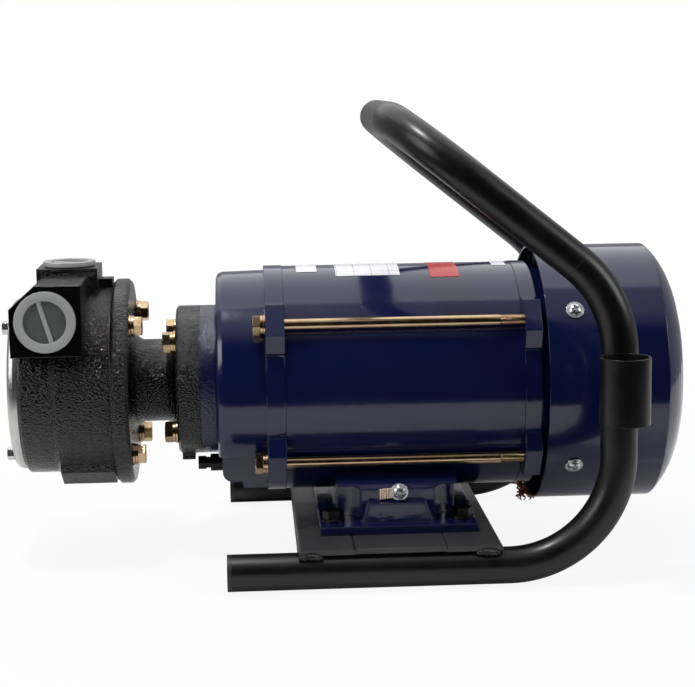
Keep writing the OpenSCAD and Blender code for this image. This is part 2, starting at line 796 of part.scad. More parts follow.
module front_end_shield() {
    drum_r = drum_d / 2;
    lip = shield_wall * 0.6;
    flat_w = 2 * drum_d;
    color("#141a3c") difference() {
        union() {
            difference() {
                turned([[drum_x0, 0], [drum_x0, drum_r - lip],
                    [drum_x0 + lip * 0.3, drum_r - lip * 0.3],
                    [drum_x0 + lip, drum_r],
                    [band_x0, drum_r + drum_taper],
                    [band_x0, 0]]);
                translate([drum_x0 - overrun, -flat_w / 2,
                    axis_h - drum_flat - flat_w])
                    cube([drum_len, flat_w, flat_w]);
            }
            on_axis(band_r, band_x0, stator_x0);
            rod_ears(band_x0, stator_x0);
            on_axis(spigot_d / 2, spigot_x0, drum_x0);
            on_axis(pilot_d / 2, spigot_x0 - pilot_len, spigot_x0);
            translate([0, 0, axis_h - drum_flat])
                along_y(-sump_w / 2, sump_w / 2) sump_outline();
        }
        difference() {
            on_axis(drum_r - shield_wall, drum_x0 + shield_wall,
                stator_x0 + overrun);
            translate([drum_x0, -flat_w / 2,
                axis_h - drum_flat + shield_wall - flat_w])
                cube([drum_len, flat_w, flat_w]);
            on_axis(hub_r, drum_x0, front_bearing_x0 + bearing_w
                + washer_t);
        }
        on_axis(bearing_d / 2, front_bearing_x0, stator_x0);
        on_axis(journal_r + overrun, spigot_x0 - pilot_len - overrun,
            stator_x0);
        for (a = rod_turns) at_turn(a) translate([0, 0, rod_r])
            rod_x(rod_d + 2 * bolt_gap, band_x0 - overrun,
                stator_x0 + overrun);
        for (a = ring_bolt_turns) at_turn(a) translate([0, 0, ring_bolt_r])
            rod_x(bolt_d + 2 * thread_gap, spigot_x0 - overrun,
                drum_x0 + shield_wall * 0.6);
        translate([0, stud_y, stud_z]) rod_x(stud_d + 2 * thread_gap,
            drum_x0, stud_x1 + overrun);
    }
}

// A plug that closes the drain hole in the sump: a collar and a stub.
module drain_stud() {
    color("#17181a") translate([0, stud_y, stud_z]) {
        rod_x(stud_d, stud_x0 - overrun, stud_x1);
        rod_x(stud_d * 1.55, stud_x0 - stud_d * 1.1, stud_x0);
        rod_x(stud_d, stud_x0 - stud_d * 1.5, stud_x0 - stud_d);
        rod_x(stud_d * 1.2, stud_x0 - stud_d * 2.2, stud_x0 - stud_d * 1.5);
    }
}

module rear_end_shield() {
    inner_r = fan_cover_r - fan_cover_t;
    skirt_r = band_bore_r;
    color("#141a3c") difference() {
        union() {
            ring_on_axis(band_r, band_bore_r, stator_x1, band_x1);
            rod_ears(stator_x1, band_x1);
            on_axis(skirt_r + overrun, band_x1 - overrun,
                band_x1 + shield_wall);
            ring_on_axis(skirt_r, skirt_r - shield_wall, band_x1,
                skirt_x1);
            on_axis(hub_r, band_x1 - overrun,
                rear_bearing_x0 + bearing_w + washer_t);
            for (a = cover_screw_turns) at_turn(a)
                translate([cover_screw_x, 0, skirt_r - shield_wall / 2])
                cylinder(d = screw_head_d * 1.4,
                    h = fan_cover_r - skirt_r + shield_wall / 2);
        }
        ring_on_axis(2 * fan_cover_r, inner_r, fan_cover_x0, skirt_x1);
        on_axis(band_bore_r - overrun, stator_x1 - overrun,
            band_x1 - overrun);
        on_axis(bearing_d / 2, band_x1 - 2 * overrun,
            rear_bearing_x0 + bearing_w);
        on_axis(journal_r + overrun, band_x1, skirt_x1);
        for (a = rod_turns) at_turn(a) translate([0, 0, rod_r])
            rod_x(rod_d + 2 * thread_gap, stator_x1 - overrun,
                band_x1 + overrun);
        for (a = cover_screw_turns) at_turn(a)
            translate([cover_screw_x, 0, skirt_r - 2 * shield_wall])
            cylinder(r = screw_d / 2 + thread_gap,
                h = fan_cover_r - skirt_r + 3 * shield_wall);
    }
}

module tie_rods() {
    color("#c8a24a") for (a = rod_turns) at_turn(a)
        translate([0, 0, rod_r]) {
            rod_x(rod_d, band_x0 - washer_t, band_x1);
            rod_x(washer_d * 0.9, band_x0 - washer_t, band_x0);
            rod_x(washer_d * 0.8, band_x0 - washer_t - lock_t,
                band_x0 - washer_t);
            translate([band_x0 - washer_t - lock_t - rod_head, 0, 0])
                rotate([0, 90, 0]) hex_head(bolt_flats, rod_head);
        }
}

// The free end of the bonding lead under the rear band.
module earth_lead() {
    drop = band_r;
    color("#a0583a") translate([lead_x, 0, axis_h - drop])
        rotate([0, 180, 0]) {
            cylinder(d = lead_d, h = lead_d * 0.9);
            translate([lead_d * 0.2, 0, lead_d * 0.9])
                cylinder(d = lead_d * 1.5, h = lead_d * 0.7);
            translate([lead_d * 0.4, 0, lead_d * 1.6])
                cylinder(d = lead_d, h = lead_d * 0.5);
        }
}

// A point of the fan cover's dome, a share s of the way out from its
// middle: it falls off with the fifth power of the radius.
function dome_point(s, r, x1) = [x1 - fan_cover_dome * pow(s, 5), r * s];

module fan_cover() {
    t = fan_cover_t;
    r = fan_cover_r;
    x1 = fan_cover_x1;
    shares = [for (i = [0 : 14]) sin(90 * i / 14)];
    crease = x1 - fan_cover_dome;
    color("#141a3c") difference() {
        turned(concat([[fan_cover_x0, r - t], [fan_cover_x0, r],
            [crease - t / 2, r]],
            [for (i = [14 : -1 : 0]) dome_point(shares[i], r - t * 0.4, x1)],
            [for (i = [0 : 14]) dome_point(shares[i], r - t, x1 - t)]));
        on_axis(air_hole_d / 2, crease, x1 + overrun);
        for (i = [1 : air_ring_count]) for (k = [0 : 6 * i - 1])
            at_turn(k * 60 / i) translate([0, 0, i * air_ring_pitch])
            rod_x(air_hole_d, crease, x1 + overrun);
        for (a = cover_screw_turns) at_turn(a)
            translate([cover_screw_x, 0, r - 4 * t])
            cylinder(r = screw_d / 2 + bolt_gap, h = 6 * t);
    }
}

module fan_cover_screws() {
    seat = fan_cover_r + run_gap;
    color("#d5d7da") for (a = cover_screw_turns) at_turn(a)
        translate([cover_screw_x, 0, seat]) {
            translate([0, 0, -screw_head_d])
                cylinder(d = screw_d, h = screw_head_d);
            cylinder(d = screw_head_d * 1.25, h = washer_t * 0.6);
            translate([0, 0, washer_t * 0.6])
                cylinder(d1 = screw_head_d, d2 = screw_head_d * 0.7,
                    h = screw_head);
        }
}

module cooling_fan() {
    color("#2c2f36") difference() {
        union() {
            on_axis(fan_hub_r, fan_x0, fan_x0 + fan_depth);
            on_axis(fan_d * 0.36, fan_x0, fan_x0 + blade_t);
            for (i = [0 : blade_count - 1]) at_turn(i * 360 / blade_count)
                along_y(-blade_t / 2, blade_t / 2) polygon([
                    [fan_x0, 0], [fan_x0, fan_d / 2],
                    [fan_x0 + fan_depth * 0.55, fan_d / 2],
                    [fan_x0 + fan_depth, fan_d * 0.4],
                    [fan_x0 + fan_depth, 0]]);
        }
        on_axis(fan_bore_r, fan_x0 - overrun, shaft_x1 + overrun);
    }
}

module motor_shaft() {
    neck_r = journal_r * 0.95;
    front = front_bearing_x0;
    rear = rear_bearing_x0;
    color("#b9bdc2") turned([[coupling_mid + overrun, 0],
        [coupling_mid + overrun, neck_r], [front - overrun, neck_r],
        [front - overrun, journal_r], [front + bearing_w, journal_r],
        [front + bearing_w, shaft_d / 2], [rear, shaft_d / 2],
        [rear, journal_r], [rear + bearing_w + overrun, journal_r],
        [rear + bearing_w + overrun, fan_bore_r], [shaft_x1, fan_bore_r],
        [shaft_x1, 0]]);
}

module rotor_core() {
    r = core_bore / 2 - air_gap;
    x0 = stator_x0 + core_inset;
    x1 = stator_x1 - core_inset;
    ring = coil_out * 0.5;
    color("#8d9197") difference() {
        union() {
            on_axis(r, x0, x1);
            on_axis(r * 0.92, x0 - ring, x1 + ring);
        }
        on_axis(shaft_d / 2, x0 - coil_out, x1 + coil_out);
    }
}

// A groove for the balls, cut round the motor's axis.
module race(x0, r) {
    translate([x0 + bearing_w / 2, 0, axis_h]) rotate([0, 90, 0])
        rotate_extrude() translate([race_r, 0]) circle(r = r);
}

module bearing_outer_rings() {
    inner = race_r + ball_d * 0.3;
    color("#c3c7cc") for (x = [front_bearing_x0, rear_bearing_x0])
        difference() {
            ring_on_axis(bearing_d / 2, inner, x, x + bearing_w);
            race(x, ball_d / 2 + move_gap);
        }
}

module bearing_inner_rings() {
    outer = race_r - ball_d * 0.3;
    color("#c3c7cc") for (x = [front_bearing_x0, rear_bearing_x0])
        difference() {
            ring_on_axis(outer, journal_r, x, x + bearing_w);
            race(x, ball_d / 2 + run_gap);
        }
}

module bearing_balls() {
    color("#d8dadd") for (x = [front_bearing_x0, rear_bearing_x0])
        for (i = [0 : ball_count - 1]) at_turn(i * 360 / ball_count)
        translate([x + bearing_w / 2, 0, race_r]) sphere(d = ball_d);
}

module terminal_box() {
    y0 = stator_r * 0.8;
    inner_len = box_len - 2 * box_wall;
    inner_h = box_h - 2 * box_wall;
    color("#141a3c") difference() {
        translate([box_x - box_len / 2, y0, box_z0])
            cube([box_len, box_side - y0, box_h]);
        on_axis(stator_r, stator_x0, stator_x1);
        translate([box_x - inner_len / 2, stator_r + box_wall,
            box_z0 + box_wall]) cube([inner_len, box_side, inner_h]);
        translate([0, gland_y, gland_z]) rod_x(gland_bore
            + 4 * box_wall * 0.6 + thread_gap, box_x0 - overrun,
            box_x0 + box_wall + overrun);
        at_lid_screws() cylinder(r = screw_d / 2 + thread_gap,
            h = 2 * screw_head_d, center = true);
    }
    color("#141a3c") difference() {
        for (x = [-1, 1]) for (z = [-1, 1])
            translate([box_x + x * (box_len / 2 - screw_d - box_wall / 4),
                box_side, axis_h + z * (box_h / 2 - screw_d - box_wall / 4)])
            rotate([90, 0, 0]) cylinder(d = 2 * screw_d,
                h = box_side - stator_r);
        at_lid_screws() cylinder(r = screw_d / 2 + thread_gap,
            h = 2 * screw_head_d, center = true);
        on_axis(stator_r, stator_x0, stator_x1);
    }
}

// Places a piece at each of the lid's four screws, pointing out of it.
module at_lid_screws() {
    for (x = [-1, 1]) for (z = [-1, 1])
        translate([box_x + x * (box_len / 2 - screw_d - box_wall / 4),
            box_side, axis_h + z * (box_h / 2 - screw_d - box_wall / 4)])
        rotate([-90, 0, 0]) children();
}

module terminal_lid() {
    color("#141a3c") difference() {
        union() {
            translate([box_x - box_len / 2, box_side, box_z0])
                cube([box_len, lid_t * 0.6, box_h]);
            translate([box_x - box_len / 2 + lid_t, box_side,
                box_z0 + lid_t])
                cube([box_len - 2 * lid_t, lid_t, box_h - 2 * lid_t]);
        }
        at_lid_screws() translate([0, 0, -overrun]) {
            cylinder(r = screw_d / 2 + bolt_gap, h = 3 * lid_t);
            translate([0, 0, overrun + lid_t * 0.6])
                cylinder(r = screw_head_d / 2 + bolt_gap, h = 3 * lid_t);
        }
    }
}

module terminal_screws() {
    color("#d5d7da") at_lid_screws() {
        translate([0, 0, lid_t * 0.6])
            cylinder(d = screw_head_d, h = screw_head);
        translate([0, 0, -screw_head_d * 0.8])
            cylinder(d = screw_d, h = screw_head_d * 0.8 + lid_t * 0.7);
    }
}

module cable_gland() {
    neck = gland_bore + 4 * box_wall * 0.6;
    flats = neck * 1.25;
    color("#1a1a1a") translate([box_x0, gland_y, gland_z])
        rotate([0, 90, 0]) difference() {
            union() {
                cylinder(d = neck, h = box_wall * 1.6);
                translate([0, 0, -box_wall]) hex_head(flats, box_wall);
                translate([0, 0, -2 * box_wall])
                    cylinder(d = neck, h = box_wall);
                translate([0, 0, -4 * box_wall])
                    hex_head(flats, 2 * box_wall);
            }
            translate([0, 0, -5 * box_wall])
                cylinder(d = gland_bore, h = 7 * box_wall);
        }
}

module pump_bracket() {
    flare = (flange_d - neck_d) * 0.08;
    lug_w = ring_len * 0.7;
    lug_len = ring_len * 0.55;
    color("#101113") difference() {
        union() {
            turned([[flange_x0, 0], [flange_x0, flange_d / 2 - flare / 3],
                [flange_x0 + flare / 3, flange_d / 2],
                [neck_x0 - flare / 3, flange_d / 2],
                [neck_x0, flange_d / 2 - flare / 3],
                [neck_x0, neck_d / 2 + flare],
                [neck_x0 + flare * 0.4, neck_d / 2 + flare * 0.4],
                [neck_x0 + flare, neck_d / 2],
                [ring_x0 - flare, neck_d / 2],
                [ring_x0 - flare * 0.4, neck_d / 2 + flare * 0.4],
                [ring_x0, neck_d / 2 + flare],
                [ring_x0, spigot_d / 2 - flare / 4],
                [ring_x0 + flare / 4, spigot_d / 2],
                [spigot_x0, spigot_d / 2], [spigot_x0, 0]]);
            translate([ring_x0 + flare / 4, -lug_w,
                axis_h - ring_lug_drop])
                cube([lug_len, 2 * lug_w, ring_lug_drop / 2]);
        }
        on_axis(neck_bore / 2, flange_x0 - overrun, spigot_x0 + overrun);
        on_axis(pilot_d / 2 + thread_gap, spigot_x0 - pilot_len - thread_gap,
            spigot_x0 + overrun);
        for (a = flange_bolt_turns) at_turn(a)
            translate([0, 0, flange_bolt_r]) rod_x(bolt_d + 2 * bolt_gap,
                flange_x0 - overrun, neck_x0 + overrun);
        for (a = ring_bolt_turns) at_turn(a)
            translate([0, 0, ring_bolt_r]) rod_x(bolt_d + 2 * bolt_gap,
                ring_x0 - overrun, spigot_x0 + overrun);
    }
}

module ring_bolts() {
    color("#c8a24a") for (a = ring_bolt_turns) at_turn(a)
        translate([ring_x0, 0, ring_bolt_r]) rotate([0, -90, 0])
        hex_bolt(bolt_d, bolt_flats, bolt_head, ring_len + spigot_len,
            lock_t);
}

module flange_bolts() {
    color("#c8a24a") for (a = flange_bolt_turns) at_turn(a)
        translate([neck_x0, 0, flange_bolt_r]) rotate([0, 90, 0])
        hex_bolt(bolt_d, bolt_flats, bolt_head,
            flange_t + gasket_t + 1.5 * bolt_d, lock_t);
}

module body_gasket() {
    color("#5a4a36") difference() {
        ring_on_axis(body_rear_d / 2, neck_bore / 2, body_x1, flange_x0);
        for (a = flange_bolt_turns) at_turn(a)
            translate([0, 0, flange_bolt_r]) rod_x(bolt_d + 2 * bolt_gap,
                body_x1 - overrun, flange_x0 + overrun);
    }
}

// The outline of the side port's block in X and Z, with its front
// upper corner cut off.
module side_block_outline() {
    half = side_block_w / 2;
    cut_x = side_block_w * 0.36;
    cut_z = side_block_w * 0.32;
    translate([side_port_x, side_port_z]) polygon([[-half, -half],
        [half, -half], [half, half], [-half + cut_x, half],
        [-half, half - cut_z]]);
}

// What a port takes out of its boss, with the mouth at zero facing up:
// the lead-in, the threaded stretch and the passage behind it.
module port_cut(deep, bore_r) {
    translate([0, 0, -port_lead])
        cylinder(d = port_major_d, h = port_lead + overrun);
    translate([0, 0, -port_lead - port_thread])
        cylinder(d = port_minor_d, h = port_thread + overrun);
    translate([0, 0, -deep]) cylinder(r = bore_r, h = deep);
}

module at_side_port() {
    translate([side_port_x, -side_face, side_port_z]) rotate([90, 0, 0])
        children();
}

module at_top_port() {
    translate([top_port_x, 0, top_port_z]) children();
}

module pump_body() {
    front_r = body_front_d / 2;
    rear_r = body_rear_d / 2;
    step = rear_r - front_r;
    web = shield_wall;
    side_deep = side_face - pocket_d * 0.28;
    block_in = pocket_d * 0.2;
    color("#0f1012") difference() {
        union() {
            turned([[body_x0, 0], [body_x0, front_r - step / 2],
                [body_x0 + step / 2, front_r], [body_step_x, front_r],
                [body_step_x + step, rear_r], [body_x1, rear_r],
                [body_x1, 0]]);
            along_y(-side_face, -block_in) side_block_outline();
            translate([top_port_x - top_block_w / 2, -top_block_w / 2,
                axis_h]) cube([top_block_w, top_block_w,
                top_face - port_lead]);
            translate([top_port_x, 0, axis_h])
                cylinder(d = top_block_w, h = top_face);
            translate([top_port_x - top_block_w / 2, -top_block_w / 2,
                top_port_z - port_lead * 1.4]) cube([top_block_w,
                top_block_w, port_lead * 1.4]);
            translate([top_port_x + top_block_w / 2 - web,
                -web, axis_h]) cube([body_x1 - top_port_x
                - top_block_w / 2 + web, 2 * web, rear_r + web]);
            along_x(body_step_x + step, body_x1) polygon([
                [-rear_r * 0.6, -rear_r * 0.62 + axis_h],
                [-rear_r * 0.65, -rear_r * 0.72 + axis_h],
                [-rear_r * 0.65, -rear_r * 0.84 + axis_h],
                [-rear_r * 0.4, -rear_r * 1.01 + axis_h],
                [rear_r * 0.4, -rear_r * 1.01 + axis_h],
                [rear_r * 0.65, -rear_r * 0.84 + axis_h],
                [rear_r * 0.65, -rear_r * 0.72 + axis_h],
                [rear_r * 0.6, -rear_r * 0.62 + axis_h]]);
            translate([valve_x, valve_side, valve_seat_z - web])
                cylinder(d = valve_boss_d, h = valve_low + valve_top + web);
            translate([valve_x - valve_boss_d / 2, 0, valve_seat_z - web])
                cube([valve_boss_d, valve_side,
                    valve_low + valve_top + web]);
        }
        on_axis(cover_d / 2 + thread_gap, body_x0 - side_block_w, body_x0);
        on_axis(pocket_d / 2, body_x0 - overrun, pocket_x1);
        on_axis(bush_r, pocket_x1 - overrun, pocket_x1 + rear_wall * 0.55);
        on_axis(seal_r, pocket_x1 + rear_wall * 0.55, body_x1 + overrun);
        at_side_port() port_cut(side_deep, passage_r);
        at_top_port() port_cut(top_face - pocket_d * 0.45,
            outlet_r);
        translate([side_port_x, -pocket_d * 0.36, axis_h])
            cylinder(r = passage_r * 0.8, h = side_port_up);
        translate([valve_x, valve_side, valve_seat_z])
            cylinder(d = valve_bore, h = valve_low + valve_top + overrun);
        translate([valve_x, valve_side, axis_h - valve_low])
            rotate([90, 0, 0]) translate([0, valve_bore / 3, 0])
            cylinder(d = valve_bore * 0.4, h = valve_side - pocket_d * 0.4);
        for (a = flange_bolt_turns) at_turn(a)
            translate([0, 0, flange_bolt_r]) rod_x(bolt_d + 2 * thread_gap,
                body_x1 - 2 * bolt_d, body_x1 + overrun);
        for (a = pump_screw_turns) at_turn(a)
            translate([0, 0, cover_screw_r]) rod_x(screw_d
                + 2 * thread_gap, body_x0 - overrun,
                body_x0 + screw_head_d);
    }
}

// The cam ring: round outside, with its bore set off towards the pair of
// ports, and a window below each port.
module cam_ring() {
    color("#8d8f93") difference() {
        on_axis(pocket_d / 2, body_x0, pocket_x1);
        at_turn(cam_turn) translate([0, 0, -cam_offset])
            rod_x(2 * cam_bore_r, body_x0 - overrun, pocket_x1 + overrun);
        translate([side_port_x, -pocket_d * 0.36, axis_h + rotor_d * 0.1])
            cylinder(r = passage_r * 0.8, h = side_port_up);
        translate([top_port_x, 0, axis_h])
            cylinder(r = passage_r, h = top_face);
    }
}

// A bar for each vane, `gap` larger on its sides and its root, that
// stands out past the pump rotor.
module vane_bars(gap, x0, x1) {
    for (i = [0 : vane_count - 1]) at_turn(i * 360 / vane_count + cam_turn)
        translate([x0, -vane_t / 2 - gap, rotor_d / 2 - vane_depth - gap])
        cube([x1 - x0, vane_t + 2 * gap, 2 * vane_depth]);
}

module pump_rotor() {
    x0 = body_x0 + move_gap;
    x1 = pocket_x1 - move_gap;
    color("#9a9da2") difference() {
        on_axis(rotor_d / 2, x0, x1);
        on_axis(pump_shaft_d / 2, x0 - overrun, x1 + overrun);
        vane_bars(run_gap, x0 - overrun, x1 + overrun);
    }
}

module pump_vanes() {
    color("#3a3b3d") intersection() {
        vane_bars(0, body_x0 + move_gap, pocket_x1 - move_gap);
        on_axis(rotor_d / 2, body_x0, pocket_x1);
    }
}

module pump_shaft() {
    color("#b9bdc2") on_axis(pump_shaft_d / 2, cover_x1 - cover_t * 0.5,
        coupling_mid - overrun);
}

module shaft_coupling() {
    color("#6f7378") difference() {
        on_axis(coupling_r, coupling_x0, coupling_x1);
        on_axis(pump_shaft_d / 2, coupling_x0 - overrun, coupling_mid);
        on_axis(journal_r * 0.95, coupling_mid - overrun,
            coupling_x1 + overrun);
    }
}

module shaft_bush() {
    color("#b08d4a") ring_on_axis(bush_r, pump_shaft_d / 2 + run_gap,
        pocket_x1, pocket_x1 + rear_wall * 0.55);
}

module shaft_seal() {
    color("#222222") ring_on_axis(seal_r, pump_shaft_d / 2 + run_gap,
        pocket_x1 + rear_wall * 0.55, body_x1);
}

module cover_gasket() {
    color("#5a4a36") difference() {
        ring_on_axis(cover_d / 2, pocket_d / 2, cover_x1, body_x0);
        for (a = pump_screw_turns) at_turn(a)
            translate([0, 0, cover_screw_r]) rod_x(screw_d + 2 * bolt_gap,
                cover_x1 - overrun, body_x0 + overrun);
    }
}

module pump_cover() {
    r = cover_d / 2;
    color("#b4b6b8") difference() {
        turned([[cover_x1, 0], [cover_x1, r], [cover_x1 - cover_t * 0.4, r],
            [cover_x1 - cover_t * 0.75, r - cover_t * 0.12],
            [cover_x0, r - cover_t * 0.4], [cover_x0, 0]]);
        on_axis(pump_shaft_d / 2 + run_gap, cover_x1 - cover_t * 0.6,
            cover_x1 + overrun);
        for (a = pump_screw_turns) at_turn(a)
            translate([0, 0, cover_screw_r]) rod_x(screw_d + 2 * bolt_gap,
                cover_x0 - overrun, cover_x1 + overrun);
    }
}

module cover_screws() {
    color("#c9ccd0") for (a = pump_screw_turns) at_turn(a)
        translate([cover_x0, 0, cover_screw_r]) rotate([0, -90, 0]) {
            hex_head(screw_head_d * 0.85, screw_head * 1.6);
            translate([0, 0, -cover_t - gasket_t - screw_head_d * 0.9])
                cylinder(d = screw_d, h = cover_t + gasket_t
                    + screw_head_d * 0.9);
        }
}

// A push-in plug with its mouth seat at zero: a rim, a sunk middle with
// a finger rib across it, and a skirt in the port's lead-in.
module port_plug(rim_d, rim_t, turn) {
    skirt_d = port_major_d - 2 * move_gap;
    sunk_d = rim_d * 0.7;
    rib_w = rim_d * 0.07;
    rib_len = (rim_d + sunk_d) / 2;
    difference() {
        union() {
            translate([0, 0, move_gap]) cylinder(d = rim_d, h = rim_t);
            translate([0, 0, -port_lead * 0.85])
                cylinder(d = skirt_d, h = port_lead * 0.85 + rim_t / 2);
        }
        translate([0, 0, rim_t * 0.45])
            cylinder(d = sunk_d, h = 2 * rim_t);
        translate([0, 0, -port_lead])
            cylinder(d = skirt_d - 4 * bolt_gap * 2, h = port_lead);
    }
    rotate([0, 0, turn]) translate([-rib_w / 2, -rib_len / 2, move_gap])
        cube([rib_w, rib_len, rim_t * 0.85]);
}

module side_port_plug() {
    color("#9a9b9c") at_side_port() port_plug(side_plug_d, side_plug_t, 16);
}

module top_port_plug() {
    color("#9a9b9c") at_top_port() port_plug(top_plug_d, top_plug_t, 60);
}

module relief_poppet() {
    r = valve_bore / 2 - run_gap;
    color("#b9bdc2") translate([valve_x, valve_side,
        valve_seat_z + run_gap]) difference() {
        cylinder(r = r, h = poppet_len);
        translate([0, 0, poppet_len * 0.4])
            cylinder(r = r * 0.45, h = poppet_len);
    }
}

// The points round one section of the spring's wire, `i` sections along.
function spring_ring(i, n, len) =
    [for (k = [0 : 5]) let (a = 360 * spring_turns * i / n,
        c = spring_r + spring_wire / 2 * cos(60 * k))
        [c * cos(a), c * sin(a), spring_wire / 2 + (len - spring_wire) * i / n
            + spring_wire / 2 * sin(60 * k)]];

module relief_spring() {
    n = 8 * spring_turns;
    top = valve_top_z - spring_z0 - 2 * run_gap;
    points = [for (i = [0 : n]) each spring_ring(i, n, top)];
    sides = [for (i = [0 : n - 1]) for (k = [0 : 5]) let (a = 6 * i + k,
        b = 6 * i + (k + 1) % 6) each [[a, a + 6, b + 6], [a, b + 6, b]]];
    ends = [for (k = [1 : 4]) each [[0, k, k + 1],
        [6 * n, 6 * n + k + 1, 6 * n + k]]];
    color("#a9adb2") translate([valve_x, valve_side,
        spring_z0 + 1.5 * run_gap])
        polyhedron(points = points, faces = concat(sides, ends));
}

module relief_cap() {
    color("#c8a24a") translate([valve_x, valve_side, valve_top_z])
        hex_head(valve_boss_d * 0.9, bolt_head);
}

frame_side_near();
frame_side_far();
frame_handle();
rail_end_plugs();
cross_bar_front();
cross_bar_rear();
nozzle_holder();
foot_bolts();
foot_nuts();
motor_foot();
earth_screw();
earth_tag();
stator_housing();
stator_core();
stator_windings();
front_end_shield();
rear_end_shield();
tie_rods();
drain_stud();
earth_lead();
fan_cover();
fan_cover_screws();
cooling_fan();
motor_shaft();
rotor_core();
bearing_outer_rings();
bearing_inner_rings();
bearing_balls();
terminal_box();
terminal_lid();
terminal_screws();
cable_gland();
pump_bracket();
ring_bolts();
flange_bolts();
body_gasket();
pump_body();
cam_ring();
pump_rotor();
pump_vanes();
pump_shaft();
shaft_coupling();
shaft_bush();
shaft_seal();
cover_gasket();
pump_cover();
cover_screws();
side_port_plug();
top_port_plug();
relief_poppet();
relief_spring();
relief_cap();
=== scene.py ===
import math

import bpy
import numpy as np
from mathutils import Matrix, Vector


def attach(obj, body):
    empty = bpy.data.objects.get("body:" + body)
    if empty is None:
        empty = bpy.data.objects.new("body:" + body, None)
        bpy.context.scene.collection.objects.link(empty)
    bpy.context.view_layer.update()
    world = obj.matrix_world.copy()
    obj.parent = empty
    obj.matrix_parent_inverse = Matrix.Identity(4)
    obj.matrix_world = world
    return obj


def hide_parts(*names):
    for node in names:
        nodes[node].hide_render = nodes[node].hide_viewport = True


# Fuel transfer pump on its carrying frame. X runs along the motor from pump to fan,
# the near side is -Y, Z is up. Everything is in metres.
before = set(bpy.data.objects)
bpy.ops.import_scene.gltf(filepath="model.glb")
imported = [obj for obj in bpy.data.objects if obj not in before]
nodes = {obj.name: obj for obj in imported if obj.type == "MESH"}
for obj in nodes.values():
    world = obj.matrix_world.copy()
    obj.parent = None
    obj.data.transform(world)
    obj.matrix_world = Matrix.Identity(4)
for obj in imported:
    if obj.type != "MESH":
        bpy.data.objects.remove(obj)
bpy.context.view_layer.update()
print("frame loaded,", len(nodes), "nodes")

axisHeight = 0.124  # height of the motor's axis
tau = 2 * math.pi


# Camera

cameraPlan = {
    "place": (-0.0998, -1.2413, 0.3381),
    "yaw": 3.271,           # degrees towards +X
    "pitch": 8.711,         # degrees down
    "roll": -0.8225,
    "focalPixels": 1713.5,
    "photoWidth": 695,
    "sensor": 36.0,
}


def makeCamera(plan):
    # ahead = (sin yaw cos pitch, cos yaw cos pitch, -sin pitch), rolled about itself
    yaw, pitch, roll = (math.radians(plan[k]) for k in ("yaw", "pitch", "roll"))
    ahead = Vector((math.sin(yaw) * math.cos(pitch), math.cos(yaw) * math.cos(pitch), -math.sin(pitch)))
    right = ahead.cross(Vector((0, 0, 1))).normalized()
    up = right.cross(ahead)
    side = right * math.cos(roll) + up * math.sin(roll)
    top = up * math.cos(roll) - right * math.sin(roll)
    lens = bpy.data.cameras.new("photoCamera")
    lens.sensor_width = plan["sensor"]
    lens.lens = plan["focalPixels"] * plan["sensor"] / plan["photoWidth"]
    lens.clip_start = 0.05
    lens.clip_end = 30
    camera = bpy.data.objects.new("photoCamera", lens)
    turn = Matrix((side, top, -ahead)).transposed().to_4x4()
    camera.matrix_world = Matrix.Translation(plan["place"]) @ turn
    bpy.context.scene.collection.objects.link(camera)
    bpy.context.scene.camera = camera


makeCamera(cameraPlan)
print("camera placed")


# Mesh helpers: every new piece is a grid of points worked out with numpy

def meshPiece(name, points, faces, material, body="unit", slot=None, smooth=True):
    # puts points (n, 3) and faces into a new object that rides on a body
    mesh = bpy.data.meshes.new(name)
    mesh.from_pydata(np.asarray(points, float).tolist(), [], faces)
    mesh.update()
    mesh.polygons.foreach_set("use_smooth", [smooth] * len(mesh.polygons))
    mesh.materials.append(material)
    piece = bpy.data.objects.new(name, mesh)
    bpy.context.scene.collection.objects.link(piece)
    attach(piece, body)
    return piece


def gridFaces(rows, columns, start=0, wrapRows=False, capStart=False, capEnd=False):
    # quads between neighbouring rows of a grid whose columns close on themselves,
    # with one polygon over each end row that is to be capped
    r = np.arange(rows if wrapRows else rows - 1)[:, None]
    c = np.arange(columns)[None, :]
    r1, c1 = (r + 1) % rows, (c + 1) % columns
    quads = np.stack([r * columns + c, r * columns + c1, r1 * columns + c1, r1 * columns + c], -1)
    faces = (quads.reshape(-1, 4) + start).tolist()
    if capStart:
        faces.append((start + np.arange(columns)[::-1]).tolist())
    if capEnd:
        faces.append((start + (rows - 1) * columns + np.arange(columns)).tolist())
    return faces


def joinGrids(grids):
    # stacks grids (rows, columns, 3) with closed columns and capped ends into one mesh
    points, faces, start = [], [], 0
    for grid in grids:
        rows, columns = grid.shape[:2]
        points.append(grid.reshape(-1, 3))
        faces += gridFaces(rows, columns, start, capStart=True, capEnd=True)
        start += rows * columns
    return np.concatenate(points), faces


def turnedGrid(profile, columns=48, shape=None):
    # point(row, angle) = (r cos a, r sin a, z) for each profile row (z, r),
    # where shape(r, a, z) may change the radius
    z, r = (np.asarray(v, float)[:, None] for v in zip(*profile))
    a = np.arange(columns)[None, :] * tau / columns
    radius = shape(r, a, z) if shape else r + 0 * a
    return np.stack([radius * np.cos(a), radius * np.sin(a), z + 0 * a], -1)


def placed(grid, origin, axis, spin=0.0):
    # turns a grid's +Z onto an axis, spun about it, and moves it to its origin
    turn = Vector(axis).to_track_quat("Z", "Y").to_matrix() @ Matrix.Rotation(spin, 3, "Z")
    return grid @ np.array(turn).T + np.array(origin, float)


def atTurn(degrees, radius, x):
    # a point at an angle round the motor's axis, zero up and positive to the near side,
    # with the outward direction there
    a = math.radians(degrees)
    out = (0.0, -math.sin(a), math.cos(a))
    return (x, radius * out[1], axisHeight + radius * out[2]), out


